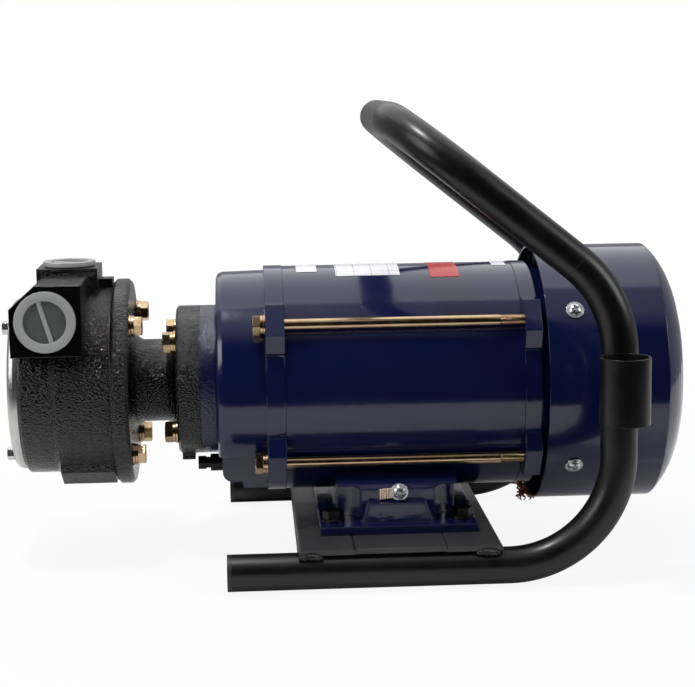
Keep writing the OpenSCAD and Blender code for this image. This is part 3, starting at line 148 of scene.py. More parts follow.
def tubeGrid(path, radius, sides=12):
    # point(i, a) = path(i) + radius(i) (cos a, sin a) in a frame carried along the path
    path = np.asarray(path, float)
    tangent = np.gradient(path, axis=0)
    tangent /= np.linalg.norm(tangent, axis=1)[:, None]
    fixed = np.eye(3)[int(np.argmin(np.abs(tangent).max(0)))]
    side = np.cross(tangent, fixed)
    side /= np.linalg.norm(side, axis=1)[:, None]
    other = np.cross(tangent, side)
    a = np.arange(sides)[None, :, None] * tau / sides
    r = np.broadcast_to(np.asarray(radius, float), (len(path),))[:, None, None]
    return path[:, None] + r * (np.cos(a) * side[:, None] + np.sin(a) * other[:, None])


# Material helpers

def newMaterial(name, **sockets):
    # a Principled material with the given sockets set, and its tree's helpers
    material = bpy.data.materials.new(name)
    material.use_nodes = True
    tree = material.node_tree
    shader = tree.nodes["Principled BSDF"]
    for key, value in sockets.items():
        shader.inputs[key.replace("_", " ")].default_value = value
    return material, tree, shader


def addNode(tree, kind, links=(), **settings):
    # adds a node, sets its properties and inputs, and links sources into its inputs
    node = tree.nodes.new("ShaderNode" + kind)
    for key, value in settings.items():
        if hasattr(node, key):
            setattr(node, key, value)
        else:
            node.inputs[key.replace("_", " ")].default_value = value
    for source, target in links:
        tree.links.new(source, node.inputs[target])
    return node


def objectPlace(tree):
    return addNode(tree, "TexCoord").outputs["Object"]


def noise(tree, place, scale, detail=3.0, roughness=0.5, distortion=0.0):
    return addNode(tree, "TexNoise", [(place, "Vector")], Scale=scale, Detail=detail,
                   Roughness=roughness, Distortion=distortion).outputs["Fac"]


def spread(tree, value, low, high, fromLow=0.3, fromHigh=0.7):
    # remaps a value between two limits
    node = addNode(tree, "MapRange", [(value, "Value")])
    for key, number in (("From Min", fromLow), ("From Max", fromHigh), ("To Min", low), ("To Max", high)):
        node.inputs[key].default_value = number
    return node.outputs["Result"]


def blendColours(tree, factor, one, two):
    # the Mix node's colour sockets are its seventh and eighth inputs and its third output;
    # each end may be a colour or a socket to link
    node = addNode(tree, "Mix", [(factor, 0)], data_type="RGBA")
    for index, end in ((6, one), (7, two)):
        if isinstance(end, tuple):
            node.inputs[index].default_value = (*end, 1)
        else:
            tree.links.new(end, node.inputs[index])
    return node.outputs[2]


def bumpFrom(tree, shader, height, strength, distance, edge=0.0):
    # bump from a height, over edges rounded by a bevel where an edge width is given
    bump = addNode(tree, "Bump", [(height, "Height")], Strength=strength, Distance=distance)
    if edge:
        bevel = addNode(tree, "Bevel", samples=4, Radius=edge)
        tree.links.new(bevel.outputs["Normal"], bump.inputs["Normal"])
    tree.links.new(bump.outputs["Normal"], shader.inputs["Normal"])
    tree.links.new(bump.outputs["Normal"], shader.inputs["Coat Normal"])
    return bump


# Finishes

enamelLook = {
    "navy": (0.0044, 0.0080, 0.051),
    "deepNavy": (0.0035, 0.0061, 0.037),
    "roughness": (0.10, 0.20),
    "peel": 170.0,          # orange peel, per metre
    "peelHeight": 0.05,     # as a share of the depth
    "grain": 520.0,         # casting grain, per metre
    "grainRun": 0.0015,     # the grain comes in over this length
    "strength": 0.8,
    "depth": 0.0010,
    "edge": 0.0009,
}
castFrom = -0.124           # X past which the front shield's casting grain shows


def beyond(tree, place, axis, start, end):
    # 0 before a plane across an axis and 1 past it
    parts = addNode(tree, "SeparateXYZ", [(place, 0)])
    return spread(tree, parts.outputs[axis], 0, 1, start, end)


def motorEnamel(name, look, roughFrom=None):
    # glossy paint with orange peel; past roughFrom along X the casting under it shows through
    material, tree, shader = newMaterial(name, IOR=1.5, Coat_Weight=0.35, Coat_Roughness=0.06)
    place = objectPlace(tree)
    broad = noise(tree, place, 9.0, 2.0)
    colour = blendColours(tree, broad, look["navy"], look["deepNavy"])
    tree.links.new(colour, shader.inputs["Base Color"])
    gloss = spread(tree, noise(tree, place, 30.0, 4.0), *look["roughness"])
    tree.links.new(gloss, shader.inputs["Roughness"])
    height = addNode(tree, "Math", [(noise(tree, place, look["peel"], 2.0), 0)], operation="MULTIPLY")
    height.inputs[1].default_value = look["peelHeight"]
    height = height.outputs[0]
    if roughFrom is not None:
        cast = beyond(tree, place, "X", roughFrom, roughFrom - look["grainRun"])
        grain = addNode(tree, "Math", [(noise(tree, place, look["grain"], 3.0, 0.6), 0), (cast, 1)],
                        operation="MULTIPLY")
        height = addNode(tree, "Math", [(grain.outputs[0], 0), (height, 1)], operation="ADD").outputs[0]
    bumpFrom(tree, shader, height, look["strength"], look["depth"], look["edge"])
    return material


castingLook = {
    "black": (0.0016, 0.0016, 0.0018),
    "grey": (0.0036, 0.0036, 0.0040),
    "roughness": (0.08, 0.18),
    "grain": 720.0,         # sand grain, per metre
    "depth": 0.0014,
    "faceAt": (-0.0775, -0.0765),   # Y across which the side port's machined face ends
    "faceGrain": 0.12,      # that face's share of the grain
    "edge": 0.0012,
}


def castingPaint(look):
    # thin black paint over sand-cast iron: height = grain noise, less on the machined face
    material, tree, shader = newMaterial("castingPaint", IOR=1.55)
    place = objectPlace(tree)
    tree.links.new(blendColours(tree, noise(tree, place, 60.0), look["black"], look["grey"]),
                   shader.inputs["Base Color"])
    gloss = spread(tree, noise(tree, place, 240.0, 2.0), *look["roughness"])
    tree.links.new(gloss, shader.inputs["Roughness"])
    grain = noise(tree, place, look["grain"], 1.0, 0.5)
    rough = spread(tree, beyond(tree, place, "Y", *look["faceAt"]), look["faceGrain"], 1.0, 0.0, 1.0)
    height = addNode(tree, "Math", [(grain, 0), (rough, 1)], operation="MULTIPLY").outputs[0]
    bumpFrom(tree, shader, height, 1.0, look["depth"], look["edge"])
    return material


def framePaint(name, one, two, roughness):
    # smooth powder coat between two greys
    material, tree, shader = newMaterial(name, IOR=1.5)
    place = objectPlace(tree)
    tree.links.new(blendColours(tree, noise(tree, place, 25.0), one, two),
                   shader.inputs["Base Color"])
    tree.links.new(spread(tree, noise(tree, place, 60.0, 4.0), *roughness), shader.inputs["Roughness"])
    bumpFrom(tree, shader, noise(tree, place, 1400.0, 2.0), 0.12, 0.0002, 0.0006)
    return material


def metal(name, one, two, roughness, scale=40.0, grain=900.0, bump=0.08, edge=0.0005):
    # bare or plated metal whose tint wanders between two colours
    material, tree, shader = newMaterial(name, Metallic=1.0)
    place = objectPlace(tree)
    tree.links.new(blendColours(tree, spread(tree, noise(tree, place, scale, 2.0), 0, 1), one, two),
                   shader.inputs["Base Color"])
    tree.links.new(spread(tree, noise(tree, place, scale * 5, 3.0), *roughness), shader.inputs["Roughness"])
    bumpFrom(tree, shader, noise(tree, place, grain, 2.0), bump, 0.0002, edge)
    return material


def plastic(name, one, two, roughness, bump=0.1, grain=1200.0, **sockets):
    # moulded plastic, rubber or gasket paper with a fine grain
    material, tree, shader = newMaterial(name, **sockets)
    place = objectPlace(tree)
    tree.links.new(blendColours(tree, noise(tree, place, 90.0), one, two), shader.inputs["Base Color"])
    tree.links.new(spread(tree, noise(tree, place, 120.0), *roughness), shader.inputs["Roughness"])
    bumpFrom(tree, shader, noise(tree, place, grain), bump, 0.0002)
    return material


finishes = {
    "motorEnamel": motorEnamel("motorEnamel", enamelLook),
    "shieldEnamel": motorEnamel("shieldEnamel", enamelLook, castFrom),
    "footEnamel": motorEnamel("footEnamel", {**enamelLook, "edge": 0.0028, "peelHeight": 0.30}),
    "castingPaint": castingPaint(castingLook),
    "framePaint": framePaint("framePaint", (0.0024, 0.0024, 0.0027), (0.0036, 0.0036, 0.0040),
                             (0.28, 0.38)),
    # painted sheen: the frame's own black paint made lighter for the bright backdrop that the bars' tops
    # reflect
    "sheenBarPaint": framePaint("sheenBarPaint", (0.030, 0.030, 0.031), (0.040, 0.040, 0.041), (0.36, 0.46)),
    "yellowZinc": metal("yellowZinc", (0.62, 0.50, 0.27), (0.56, 0.36, 0.25),
                        (0.16, 0.26), 70.0, 900.0, 0.03, 0.0),
    "brightZinc": metal("brightZinc", (0.70, 0.71, 0.73), (0.58, 0.59, 0.60), (0.20, 0.34)),
    "blackSteel": metal("blackSteel", (0.035, 0.035, 0.037), (0.022, 0.022, 0.023), (0.28, 0.42)),
    "coverMetal": metal("coverMetal", (0.60, 0.60, 0.58), (0.48, 0.48, 0.47), (0.28, 0.42),
                        55.0, 1500.0, 0.12),
    "groundSteel": metal("groundSteel", (0.52, 0.53, 0.55), (0.42, 0.43, 0.45), (0.22, 0.36)),
    "coreSteel": metal("coreSteel", (0.30, 0.31, 0.33), (0.22, 0.23, 0.25), (0.36, 0.5)),
    "copper": metal("copper", (0.80, 0.38, 0.24), (0.55, 0.22, 0.13), (0.28, 0.46), 160.0),
    "tinnedCopper": metal("tinnedCopper", (0.72, 0.50, 0.38), (0.78, 0.68, 0.58), (0.24, 0.4), 200.0),
    "bronze": metal("bronze", (0.62, 0.43, 0.20), (0.50, 0.34, 0.16), (0.3, 0.45)),
    "blackPlastic": plastic("blackPlastic", (0.012, 0.012, 0.013), (0.020, 0.020, 0.021), (0.38, 0.55)),
    "gasket": plastic("gasket", (0.050, 0.040, 0.028), (0.075, 0.060, 0.042), (0.6, 0.8)),
    "sealRubber": plastic("sealRubber", (0.014, 0.014, 0.014), (0.022, 0.022, 0.022), (0.5, 0.7)),
    "plugRim": plastic("plugRim", (0.36, 0.37, 0.36), (0.42, 0.43, 0.42), (0.32, 0.46), 0.15, 700.0,
                       Transmission_Weight=0.12, IOR=1.5),
    # painted shade: the pane is the rim's plastic, painted darker for the dark port behind it showing through
    # the thin pane
    "plugPane": plastic("plugPane", (0.075, 0.079, 0.082), (0.110, 0.114, 0.116), (0.34, 0.5), 0.35, 500.0),
}
print("finishes made,", len(finishes))

nodeFinishes = {
    "motorEnamel": ["stator_housing", "rear_end_shield", "fan_cover", "terminal_box", "terminal_lid"],
    "footEnamel": ["motor_foot"],
    "shieldEnamel": ["front_end_shield"],
    "castingPaint": ["pump_body", "pump_bracket"],
    "framePaint": ["frame_side_near", "frame_side_far", "frame_handle", "nozzle_holder"],
    "sheenBarPaint": ["cross_bar_front", "cross_bar_rear"],
    "yellowZinc": ["tie_rods", "ring_bolts", "flange_bolts", "relief_cap"],
    "brightZinc": ["earth_screw", "fan_cover_screws", "terminal_screws", "cover_screws"],
    "blackSteel": ["foot_bolts", "foot_nuts", "drain_stud", "pump_vanes"],
    "coverMetal": ["pump_cover"],
    "groundSteel": ["motor_shaft", "bearing_outer_rings", "bearing_inner_rings", "bearing_balls", "cam_ring",
                    "pump_rotor", "pump_shaft", "shaft_coupling", "relief_spring", "relief_poppet"],
    "coreSteel": ["stator_core", "rotor_core"],
    "copper": ["stator_windings", "earth_lead"],
    "tinnedCopper": ["earth_tag"],
    "bronze": ["shaft_bush"],
    "blackPlastic": ["rail_end_plugs", "cooling_fan", "cable_gland"],
    "gasket": ["body_gasket", "cover_gasket"],
    "sealRubber": ["shaft_seal"],
    "plugRim": ["side_port_plug", "top_port_plug"],
}


def dressNodes(plan):
    # each CAD node gets one finish; its mesh stays as packed
    dressed = set()
    for finish, names in plan.items():
        for name in names:
            mesh = nodes[name].data
            mesh.materials.clear()
            mesh.materials.append(finishes[finish])
            dressed.add(name)
    print("nodes dressed,", len(dressed), "left out:", sorted(set(nodes) - dressed))


dressNodes(nodeFinishes)


# Bolts, screws and rods

hexHead = {
    "crown": 0.475,         # radius of the turned ring on top, as a share of the flats
    "slope": 1.75,          # of both chamfer cones
    "under": 0.0009,        # how far past the crown the lower cone starts
    "rows": (0, 0.04, 0.5, 0.78, 0.82, 0.86, 0.90, 0.94, 0.97, 1.0),    # shares of the height
    "dish": ((1.0, 0.93), (0.97, 0.86), (0.965, 0.3)),  # shares of the height and of the crown
}


def hexHeadGrid(flats, height, columns=72, form=hexHead):
    # r(a, z) = the least of the hexagon's radius, flats / 2 / cos(a) on each side, and of
    # two chamfer cones, and the top is dished inside a turned ring
    crown, slope = flats * form["crown"], form["slope"]
    profile = [(row * height, flats) for row in form["rows"]]
    profile += [(height * row, crown * share) for row, share in form["dish"]]

    def shape(r, a, z):
        hexagon = flats / 2 / np.cos((a + math.pi / 6) % (math.pi / 3) - math.pi / 6)
        cone = np.minimum(crown + (height - z) * slope, crown + form["under"] + z * slope)
        return np.minimum(r, np.minimum(hexagon, cone))
    return turnedGrid(profile, columns, shape)


def roundedDisc(radius, thickness, z=0.0, edge=0.15):
    # a washer's outline as a turned profile with broken edges
    e = thickness * edge
    return [(z, radius - e), (z + e, radius), (z + thickness - e, radius), (z + thickness, radius - e)]


threadForm = {"rows": 8, "steep": 1.6, "flat": 0.3}    # rows to a pitch, flank slope, root flat


def threadGrid(z0, z1, crest, root, pitch, columns=24, form=threadForm):
    # r(a, z) = root + (crest - root) clip(steep |2 phase - 1| - flat), where phase is the
    # fraction of (z - z0) / pitch - a / 2 pi
    z = np.linspace(z0, z1, int((z1 - z0) / pitch * form["rows"]))
    profile = [(v, crest) for v in z]

    def shape(r, a, h):
        phase = ((h - z0) / pitch - a / tau) % 1.0
        return root + (crest - root) * np.clip(form["steep"] * np.abs(2 * phase - 1) - form["flat"], 0, 1)
    return turnedGrid(profile, columns, shape)


lockShare = 0.93            # a spring washer's radius as a share of the flat washer's
shankTip = (0.8, 0.96)      # the end's radius and where its taper starts, as shares
headSpin = (0.4, 0.9)       # radians: the first head's turn and the step to the next
boltSharp = math.radians(28)


def boltSet(name, seats, plan, finish, node, slot):
    # one piece for a set of bolts: shank, washer and head along each seat's outward axis
    grids = []
    washer, spring = plan["washer"], plan.get("spring", 0.0)
    shank, length = plan["shank"], plan["shankLength"]
    for i, (origin, axis) in enumerate(seats):
        body = [(-length, shank * shankTip[0]), (-length * shankTip[1], shank), (0.0, shank)]
        parts = [turnedGrid(body, 24), turnedGrid(roundedDisc(plan["washerRadius"], washer), 40)]
        if spring:
            parts.append(turnedGrid(roundedDisc(plan["washerRadius"] * lockShare, spring, washer), 40))
        head = hexHeadGrid(plan["flats"], plan["head"])
        parts.append(head + np.array([0, 0, washer + spring]))
        grids += [placed(part, origin, axis, headSpin[0] + headSpin[1] * i) for part in parts]
    piece = meshPiece(name, *joinGrids(grids), finishes[finish], "unit", slot)
    piece.data.set_sharp_from_angle(angle=boltSharp)
    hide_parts(node)


# seats are at x on a circle about the motor's axis, at turns in degrees from the top
eightMillimetre = {"flats": 0.013, "head": 0.0055, "washer": 0.0016, "spring": 0.0022,
                   "washerRadius": 0.008, "shank": 0.004}
flangeBolts = {**eightMillimetre, "x": -0.185, "circle": 0.06105, "turns": (41.5, 139.5, -41.5, -139.5),
               "shankLength": 0.0245}
ringBolts = {**eightMillimetre, "x": -0.153, "circle": 0.04595, "turns": (45, 135, 225, 315),
             "shankLength": 0.0285}
pumpCoverScrews = {"x": -0.2695, "circle": 0.05505, "turns": (35, 145, -35, -145), "flats": 0.0085,
                   "head": 0.0048, "washer": 0.0003, "washerRadius": 0.0046, "shank": 0.0025,
                   "shankLength": 0.016}


def seatsAlongAxis(plan, sign):
    # seats whose bolts point along +X or -X
    return [(atTurn(t, plan["circle"], plan["x"])[0], (sign, 0, 0)) for t in plan["turns"]]


boltSet("flangeBoltSet", seatsAlongAxis(flangeBolts, 1), flangeBolts, "yellowZinc",
        "flange_bolts", "yellow_zinc")
boltSet("ringBoltSet", seatsAlongAxis(ringBolts, -1), ringBolts, "yellowZinc",
        "ring_bolts", "yellow_zinc")
boltSet("pumpCoverScrewSet", seatsAlongAxis(pumpCoverScrews, -1), pumpCoverScrews, "brightZinc",
        "cover_screws", "zinc")

tieRods = {"radius": 0.0864, "turns": (55.8, 124.2, -55.8, -124.2), "rod": 0.004, "seat": -0.0895,
           "end": 0.1015, "threadFrom": 0.0740, "pitch": 0.00125, "flats": 0.013, "head": 0.0052,
           "washer": 0.0016, "spring": 0.0021, "washerRadius": 0.0072, "lockRadius": 0.0069,
           "runOut": 0.0012, "neck": 0.88, "root": 0.86}    # neck and root as shares of the rod


def makeTieRods(plan):
    # a long rod with a rolled thread at its rear end, washers and a head at its front
    grids = []
    for i, turn in enumerate(plan["turns"]):
        origin, _ = atTurn(turn, plan["radius"], 0.0)
        r, seat, start = plan["rod"], plan["seat"], plan["threadFrom"]
        washer, spring = plan["washer"], plan["spring"]
        body = turnedGrid([(seat, r), (start - plan["runOut"], r), (start, r * plan["neck"])], 32)
        thread = threadGrid(start, plan["end"], r, r * plan["root"], plan["pitch"])
        flat = turnedGrid(roundedDisc(plan["washerRadius"], washer, seat - washer), 40)
        lock = turnedGrid(roundedDisc(plan["lockRadius"], spring, seat - washer - spring), 40)
        head = hexHeadGrid(plan["flats"], plan["head"])
        front = (origin[0] + seat - washer - spring, origin[1], origin[2])
        grids += [placed(g, origin, (1, 0, 0), 0.3 + i) for g in (body, thread, flat, lock)]
        grids.append(placed(head, front, (-1, 0, 0), 0.5 + 0.8 * i))
    piece = meshPiece("tieRodSet", *joinGrids(grids), finishes["yellowZinc"], "unit", "yellow_zinc")
    piece.data.set_sharp_from_angle(angle=boltSharp)
    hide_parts("tie_rods")


makeTieRods(tieRods)

panScrews = {"radius": 0.0047, "height": 0.0030, "washerRadius": 0.0063, "washer": 0.0010, "shank": 0.0025,
             "shankLength": 0.0100}
panHead = {
    "power": 2.6, "rim": 0.25,      # the dome's roundness, and its upright rim as a share of the height
    "half": 0.15, "side": 0.05,     # the recess's half width and its walls' run, as shares of the radius
    "reach": 0.58, "end": 0.10,     # how far the recess goes and its ends' run, likewise
    "depth": 0.62,                  # as a share of the height
}


def panHeadGrid(radius, height, columns=96, form=panHead):
    # z(r, a) = height ((1 - (r / radius)^power) (1 - rim) + rim), less a cross recess along
    # two diameters
    r = np.concatenate([[radius, radius], radius * np.linspace(0.985, 0.02, 34)])[:, None]
    a = np.arange(columns)[None, :] * tau / columns
    rim = form["rim"]
    z = height * (1 - (r / radius) ** form["power"]) * (1 - rim) + height * rim
    z[0] = 0.0
    across, along = np.abs(r * np.cos(a)), np.abs(r * np.sin(a))
    least, most = np.minimum(across, along), np.maximum(across, along)
    wall = np.clip((form["half"] * radius - least) / (form["side"] * radius), 0, 1)
    end = np.clip((form["reach"] * radius - most) / (form["end"] * radius), 0, 1)
    z = z - form["depth"] * height * wall * end
    return np.stack([r * np.cos(a), r * np.sin(a), z + 0 * a], -1)


def panScrewSet(name, seats, plan, node):
    # one piece for a set of screws, built like the bolts
    grids = []
    shank, length = plan["shank"], plan["shankLength"]
    for i, (origin, axis) in enumerate(seats):
        body = turnedGrid([(-length, shank * 0.7), (-length * 0.9, shank), (0, shank)], 20)
        washer = turnedGrid(roundedDisc(plan["washerRadius"], plan["washer"]), 48)
        head = panHeadGrid(plan["radius"], plan["height"]) + np.array([0, 0, plan["washer"]])
        grids += [placed(g, origin, axis, 0.35 + 0.5 * i) for g in (body, washer, head)]
    piece = meshPiece(name, *joinGrids(grids), finishes["brightZinc"], "unit", "zinc")
    piece.data.set_sharp_from_angle(angle=math.radians(32))
    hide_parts(node)


fanCoverScrews = {"x": 0.125, "circle": 0.09305, "turns": (54, 126, -54, -126)}
panScrewSet("fanCoverScrewSet",
            [atTurn(t, fanCoverScrews["circle"], fanCoverScrews["x"]) for t in fanCoverScrews["turns"]],
            panScrews, "fan_cover_screws")
earthSeat = (0.00101, -0.0838, 0.05549)
panScrewSet("earthScrewHead", [(earthSeat, (0, -1, 0))],
            {**panScrews, "washerRadius": 0.0062, "washer": 0.0016}, "earth_screw")
earthTag = {
    "x": (0.0062, -0.0128), "y": (-0.08302, -0.08378), "z": 0.0555,
    "fall": 0.0018,         # how far the free end hangs
    "half": 0.0038, "edge": 0.0003,
    "tip": 0.16,            # share of the length over which the ends round off
    "ribsFrom": -0.0062, "rib": 0.0016, "ribHeight": 0.0005,
}


def makeEarthTag(plan):
    # a flat lug under the screw's washer whose free end is crimped: its face rises and falls
    # as ribHeight (1 - cos(2 pi x / rib)) / 2 past the washer, and it slants down a little
    x = np.linspace(*plan["x"], 90)
    share = (plan["x"][0] - x) / (plan["x"][0] - plan["x"][1])
    rise = np.where(x < plan["ribsFrom"], 0.5 - 0.5 * np.cos((x - plan["ribsFrom"]) / plan["rib"] * tau), 0)
    face = plan["y"][1] - rise * plan["ribHeight"]
    middle = plan["z"] - plan["fall"] * share
    half = plan["half"] * np.sqrt(np.clip(share / plan["tip"], 0.05, 1))
    back, edge = 0 * x + plan["y"][0], plan["edge"]
    corners = [(back, middle - half), (face + edge, middle - half), (face, middle - half + edge),
               (face, middle + half - edge), (face + edge, middle + half), (back, middle + half)]
    grid = np.stack([np.stack([x, y, z], -1) for y, z in corners], 1)
    piece = meshPiece("earthLug", *joinGrids([grid]), finishes["tinnedCopper"], "unit", "copper")
    piece.data.set_sharp_from_angle(angle=math.radians(35))
    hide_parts("earth_tag")


makeEarthTag(earthTag)
print("fasteners made")


# Transport plugs in the ports

plugPlans = {
    # turn is the finger rib's angle in degrees, as seen from outside
    "sidePlug": {"mouth": (-0.239, -0.078, 0.179), "axis": (0, -1, 0), "rim": 0.021, "turn": 16,
                 "body": "side_plug", "node": "side_port_plug"},
    "topPlug": {"mouth": (-0.229, 0.0, 0.209), "axis": (0, 0, 1), "rim": 0.01875, "turn": 60,
                "body": "top_plug", "node": "top_port_plug"},
}
plugForm = {
    "lift": 0.0003, "thick": 0.0035,            # the rim's underside and height over the mouth
    "edge": 0.16,                               # the rim's rounding, as a share of its height
    "sunk": 0.70,                               # the pane's radius, as a share of the rim's
    "skirt": 0.01635, "wall": 0.0030, "deep": 0.00595, "lead": 0.0005,
    "pane": 0.0012, "paneAt": 0.45, "lap": 0.0004,      # thickness, height as a share, overlap
    "corner": 0.0004,                                   # the skirt's inner edge
    "rib": 0.0016, "ribHeight": 0.42, "ribFoot": 0.35,  # half width, share of height, radians
    "columns": 72, "sharp": 40,
}


def makePlug(name, plan, form):
    # a turned rim and skirt, a thin pane sunk inside the rim, and a finger rib across it
    rim, thick, lift = plan["rim"], form["thick"], form["lift"]
    sunk, skirt, deep = rim * form["sunk"], form["skirt"], form["deep"]
    e, top = thick * form["edge"], lift + thick
    columns = form["columns"]
    ringProfile = [(lift, skirt), (lift, rim - e), (lift + e, rim), (top - e, rim),
                   (top - e * 0.3, rim - e * 0.3), (top, rim - e),
                   (top, sunk + e), (top - e * 0.3, sunk + e * 0.3), (top - e, sunk), (thick * 0.3, sunk),
                   (-deep, skirt - form["wall"]), (-deep, skirt - form["corner"]),
                   (form["lead"] - deep, skirt)]
    ring = turnedGrid(ringProfile, columns)
    # the plug's own X and Y lie along the frame's axes, as seen from outside
    side = Vector((1, 0, 0))
    up = Vector(plan["axis"]).cross(side)
    basis = np.array([side[:], up[:], plan["axis"]])
    mouth = np.array(plan["mouth"])

    def piece(part, points, faces, finish):
        return meshPiece(name + part, points, faces, finishes[finish], plan["body"], "plug_plastic")

    rimPiece = piece("Rim", (ring @ basis + mouth).reshape(-1, 3),
                     gridFaces(len(ringProfile), columns, wrapRows=True), "plugRim")
    paneZ, paneRadius = thick * form["paneAt"], sunk + form["lap"]
    pane = turnedGrid([(paneZ - form["pane"], paneRadius), (paneZ, paneRadius), (paneZ, sunk * 0.5)], columns)
    # the pane's darker colour is painted shade of the port behind it
    panePiece = piece("Pane", *joinGrids([pane @ basis + mouth]), "plugPane")
    # the rib is a half-round bar: section (w cos b, h sin b) carried from rim to rim
    turn = math.radians(plan["turn"])
    along = np.array([-math.sin(turn), math.cos(turn), 0])
    across = np.array([math.cos(turn), math.sin(turn), 0])
    b = np.linspace(-form["ribFoot"], math.pi + form["ribFoot"], 13)
    section = np.stack([form["rib"] * np.cos(b),
                        np.maximum(np.sin(b), -0.6) * (thick * form["ribHeight"])], -1)
    reach = np.linspace(1, -1, 9)[:, None, None] * (sunk + 0.001)
    rib = (reach * along + section[None, :, :1] * across
           + (section[None, :, 1:] + paneZ) * np.array([0, 0, 1.0]))
    ribPiece = piece("Rib", *joinGrids([rib @ basis + mouth]), "plugRim")
    for part in (rimPiece, panePiece, ribPiece):
        part.data.set_sharp_from_angle(angle=math.radians(form["sharp"]))
    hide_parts(plan["node"])


for plugName, plugPlan in plugPlans.items():
    makePlug(plugName, plugPlan, plugForm)
print("plugs made")


# Bare plates on the housing

# x and turn are each plate's limits, turn in degrees from the top
platePlans = {
    "smallPlate": {"x": (-0.0662, -0.0512), "turn": (-14, 14), "finish": "plateWhite"},
    "ratingPlate": {"x": (-0.0382, 0.0079), "turn": (-34, 20), "finish": "plateRuled"},
    "redPlate": {"x": (0.0293, 0.0500), "turn": (-16, 23), "finish": "plateRed"},
    "rearPlate": {"x": (0.0760, 0.0863), "turn": (-12, 9), "finish": "plateWhite"},
}
plateForm = {"radius": 0.0815, "thick": 0.00025, "edge": 0.00016, "sunk": 0.00002}
plateLook = {
    "white": (0.80, 0.80, 0.84),
    "red": (0.70, 0.055, 0.050),
    "ink": (0.28, 0.28, 0.33),
    "lines": (("X", 0.0125, 0.030), ("Y", 0.0052, 0.07)),   # axis, step, width as a share of it
}


def plateFinish(name, colour, ruled=False):
    material, tree, shader = newMaterial(name, IOR=1.5)
    place = objectPlace(tree)
    speck = spread(tree, noise(tree, place, 300.0), 0.93, 1.0)
    tint = blendColours(tree, speck, tuple(c * 0.82 for c in colour), colour)
    if ruled:
        # faint ruled lines: 1 where the fraction of place / step is less than the width
        parts = addNode(tree, "SeparateXYZ", [(place, 0)])
        marks = []
        for axis, step, width in plateLook["lines"]:
            cell = addNode(tree, "Math", [(parts.outputs[axis], 0)], operation="MULTIPLY")
            cell.inputs[1].default_value = 1 / step
            part = addNode(tree, "Math", [(cell.outputs[0], 0)], operation="FRACT")
            line = addNode(tree, "Math", [(part.outputs[0], 0)], operation="LESS_THAN")
            line.inputs[1].default_value = width
            marks.append(line.outputs[0])
        either = addNode(tree, "Math", [(marks[0], 0), (marks[1], 1)], operation="MAXIMUM")
        tint = blendColours(tree, either.outputs[0], tint, plateLook["ink"])
    tree.links.new(tint, shader.inputs["Base Color"])
    tree.links.new(spread(tree, noise(tree, place, 80.0), 0.22, 0.32), shader.inputs["Roughness"])
    finishes[name] = material


plateFinish("plateWhite", plateLook["white"])
plateFinish("plateRuled", plateLook["white"], True)
plateFinish("plateRed", plateLook["red"])


def makePlate(name, plan, form):
    # a thin foil: section (x, depth) carried along an arc round the motor's axis
    x0, x1 = plan["x"]
    thick, edge, sunk = form["thick"], form["edge"], form["sunk"]
    section = np.array([(x0, sunk), (x0 + edge, thick), (x1 - edge, thick), (x1, sunk)])
    turns = np.radians(np.linspace(plan["turn"][1], plan["turn"][0], 28))[:, None]
    r = form["radius"] + section[None, :, 1]
    grid = np.stack([section[None, :, 0] + 0 * turns, -r * np.sin(turns),
                     axisHeight + r * np.cos(turns)], -1)
    piece = meshPiece(name, *joinGrids([grid]), finishes[plan["finish"]], "unit", "motor_paint")
    piece.data.set_sharp_from_angle(angle=math.radians(30))


for plateName, platePlan in platePlans.items():
    makePlate(plateName, platePlan, plateForm)
print("plates made")


# Welds and the copper pigtail

weldPlan = {
    "radius": 0.0021,
    "ripple": 0.0017,       # length of one ripple
    "swell": (0.10, 0.06),  # the ripple's height and a slower wave's, as shares of the radius
    # the bars' beads: middles along X, half length, place, wander and sag
    "barEnds": {"x": (-0.063, 0.0565), "half": 0.0085, "y": 0.1332, "z": 0.0243, "wander": 0.0004,
                "sag": 0.0010, "thick": 1.25},
    # the holder's beads, one on either side of its seam with the upright
    "holder": {"seam": (0.14493, -0.13695), "side": (0.9963, -0.0856), "offset": 0.0042,
               "z": (0.1165, 0.1555), "wander": 0.0002, "thick": 0.95},
}


def weldGrid(path, radius, ripple, seed):
    # a bead of radius(run) = radius (1 + swell sin(2 pi run / ripple) + a slower wave),
    # tapered at its ends by the root of the way in
    path = np.asarray(path, float)
    run = np.concatenate([[0], np.cumsum(np.linalg.norm(np.diff(path, axis=0), axis=1))])
    swell, slow = weldPlan["swell"]
    wave = 1 + swell * np.sin(run / ripple * tau) + slow * np.sin(run / ripple * 1.7 + seed)
    taper = np.clip(np.minimum(run, run[-1] - run) / (2.2 * radius), 0.0, 1.0) ** 0.5
    return tubeGrid(path, radius * wave * np.maximum(taper, 0.12), 14)


# painted shade: a dark sheet across the slit under the foot, where there is only shade
slitShadeSheet = {"x": (-0.03285, 0.02845), "half": 0.1330, "z": (0.0252, 0.0289), "edge": 0.0004}


def makeSlitShadeSheet(plan):
    # a dark sheet that closes the slit between the two cross bars under the middle of the foot,
    # put there as painted shade for the deep shade in that slit: its section, a flat bar with
    # broken edges, carried from one bar to the other
    y, (low, high), e = plan["half"], plan["z"], plan["edge"]
    section = np.array([(-y, low + e), (-y, high - e), (-y + e, high), (y - e, high), (y, high - e),
                        (y, low + e), (y - e, low), (-y + e, low)])[::-1]
    x = np.array(plan["x"])[:, None]
    grid = np.stack([x + 0 * section[None, :, 0], section[None, :, 0] + 0 * x,
                     section[None, :, 1] + 0 * x], -1)
    meshPiece("slitShadeSheet", *joinGrids([grid]), finishes["sheenBarPaint"], "unit", "frame_paint", smooth=False)


makeSlitShadeSheet(slitShadeSheet)


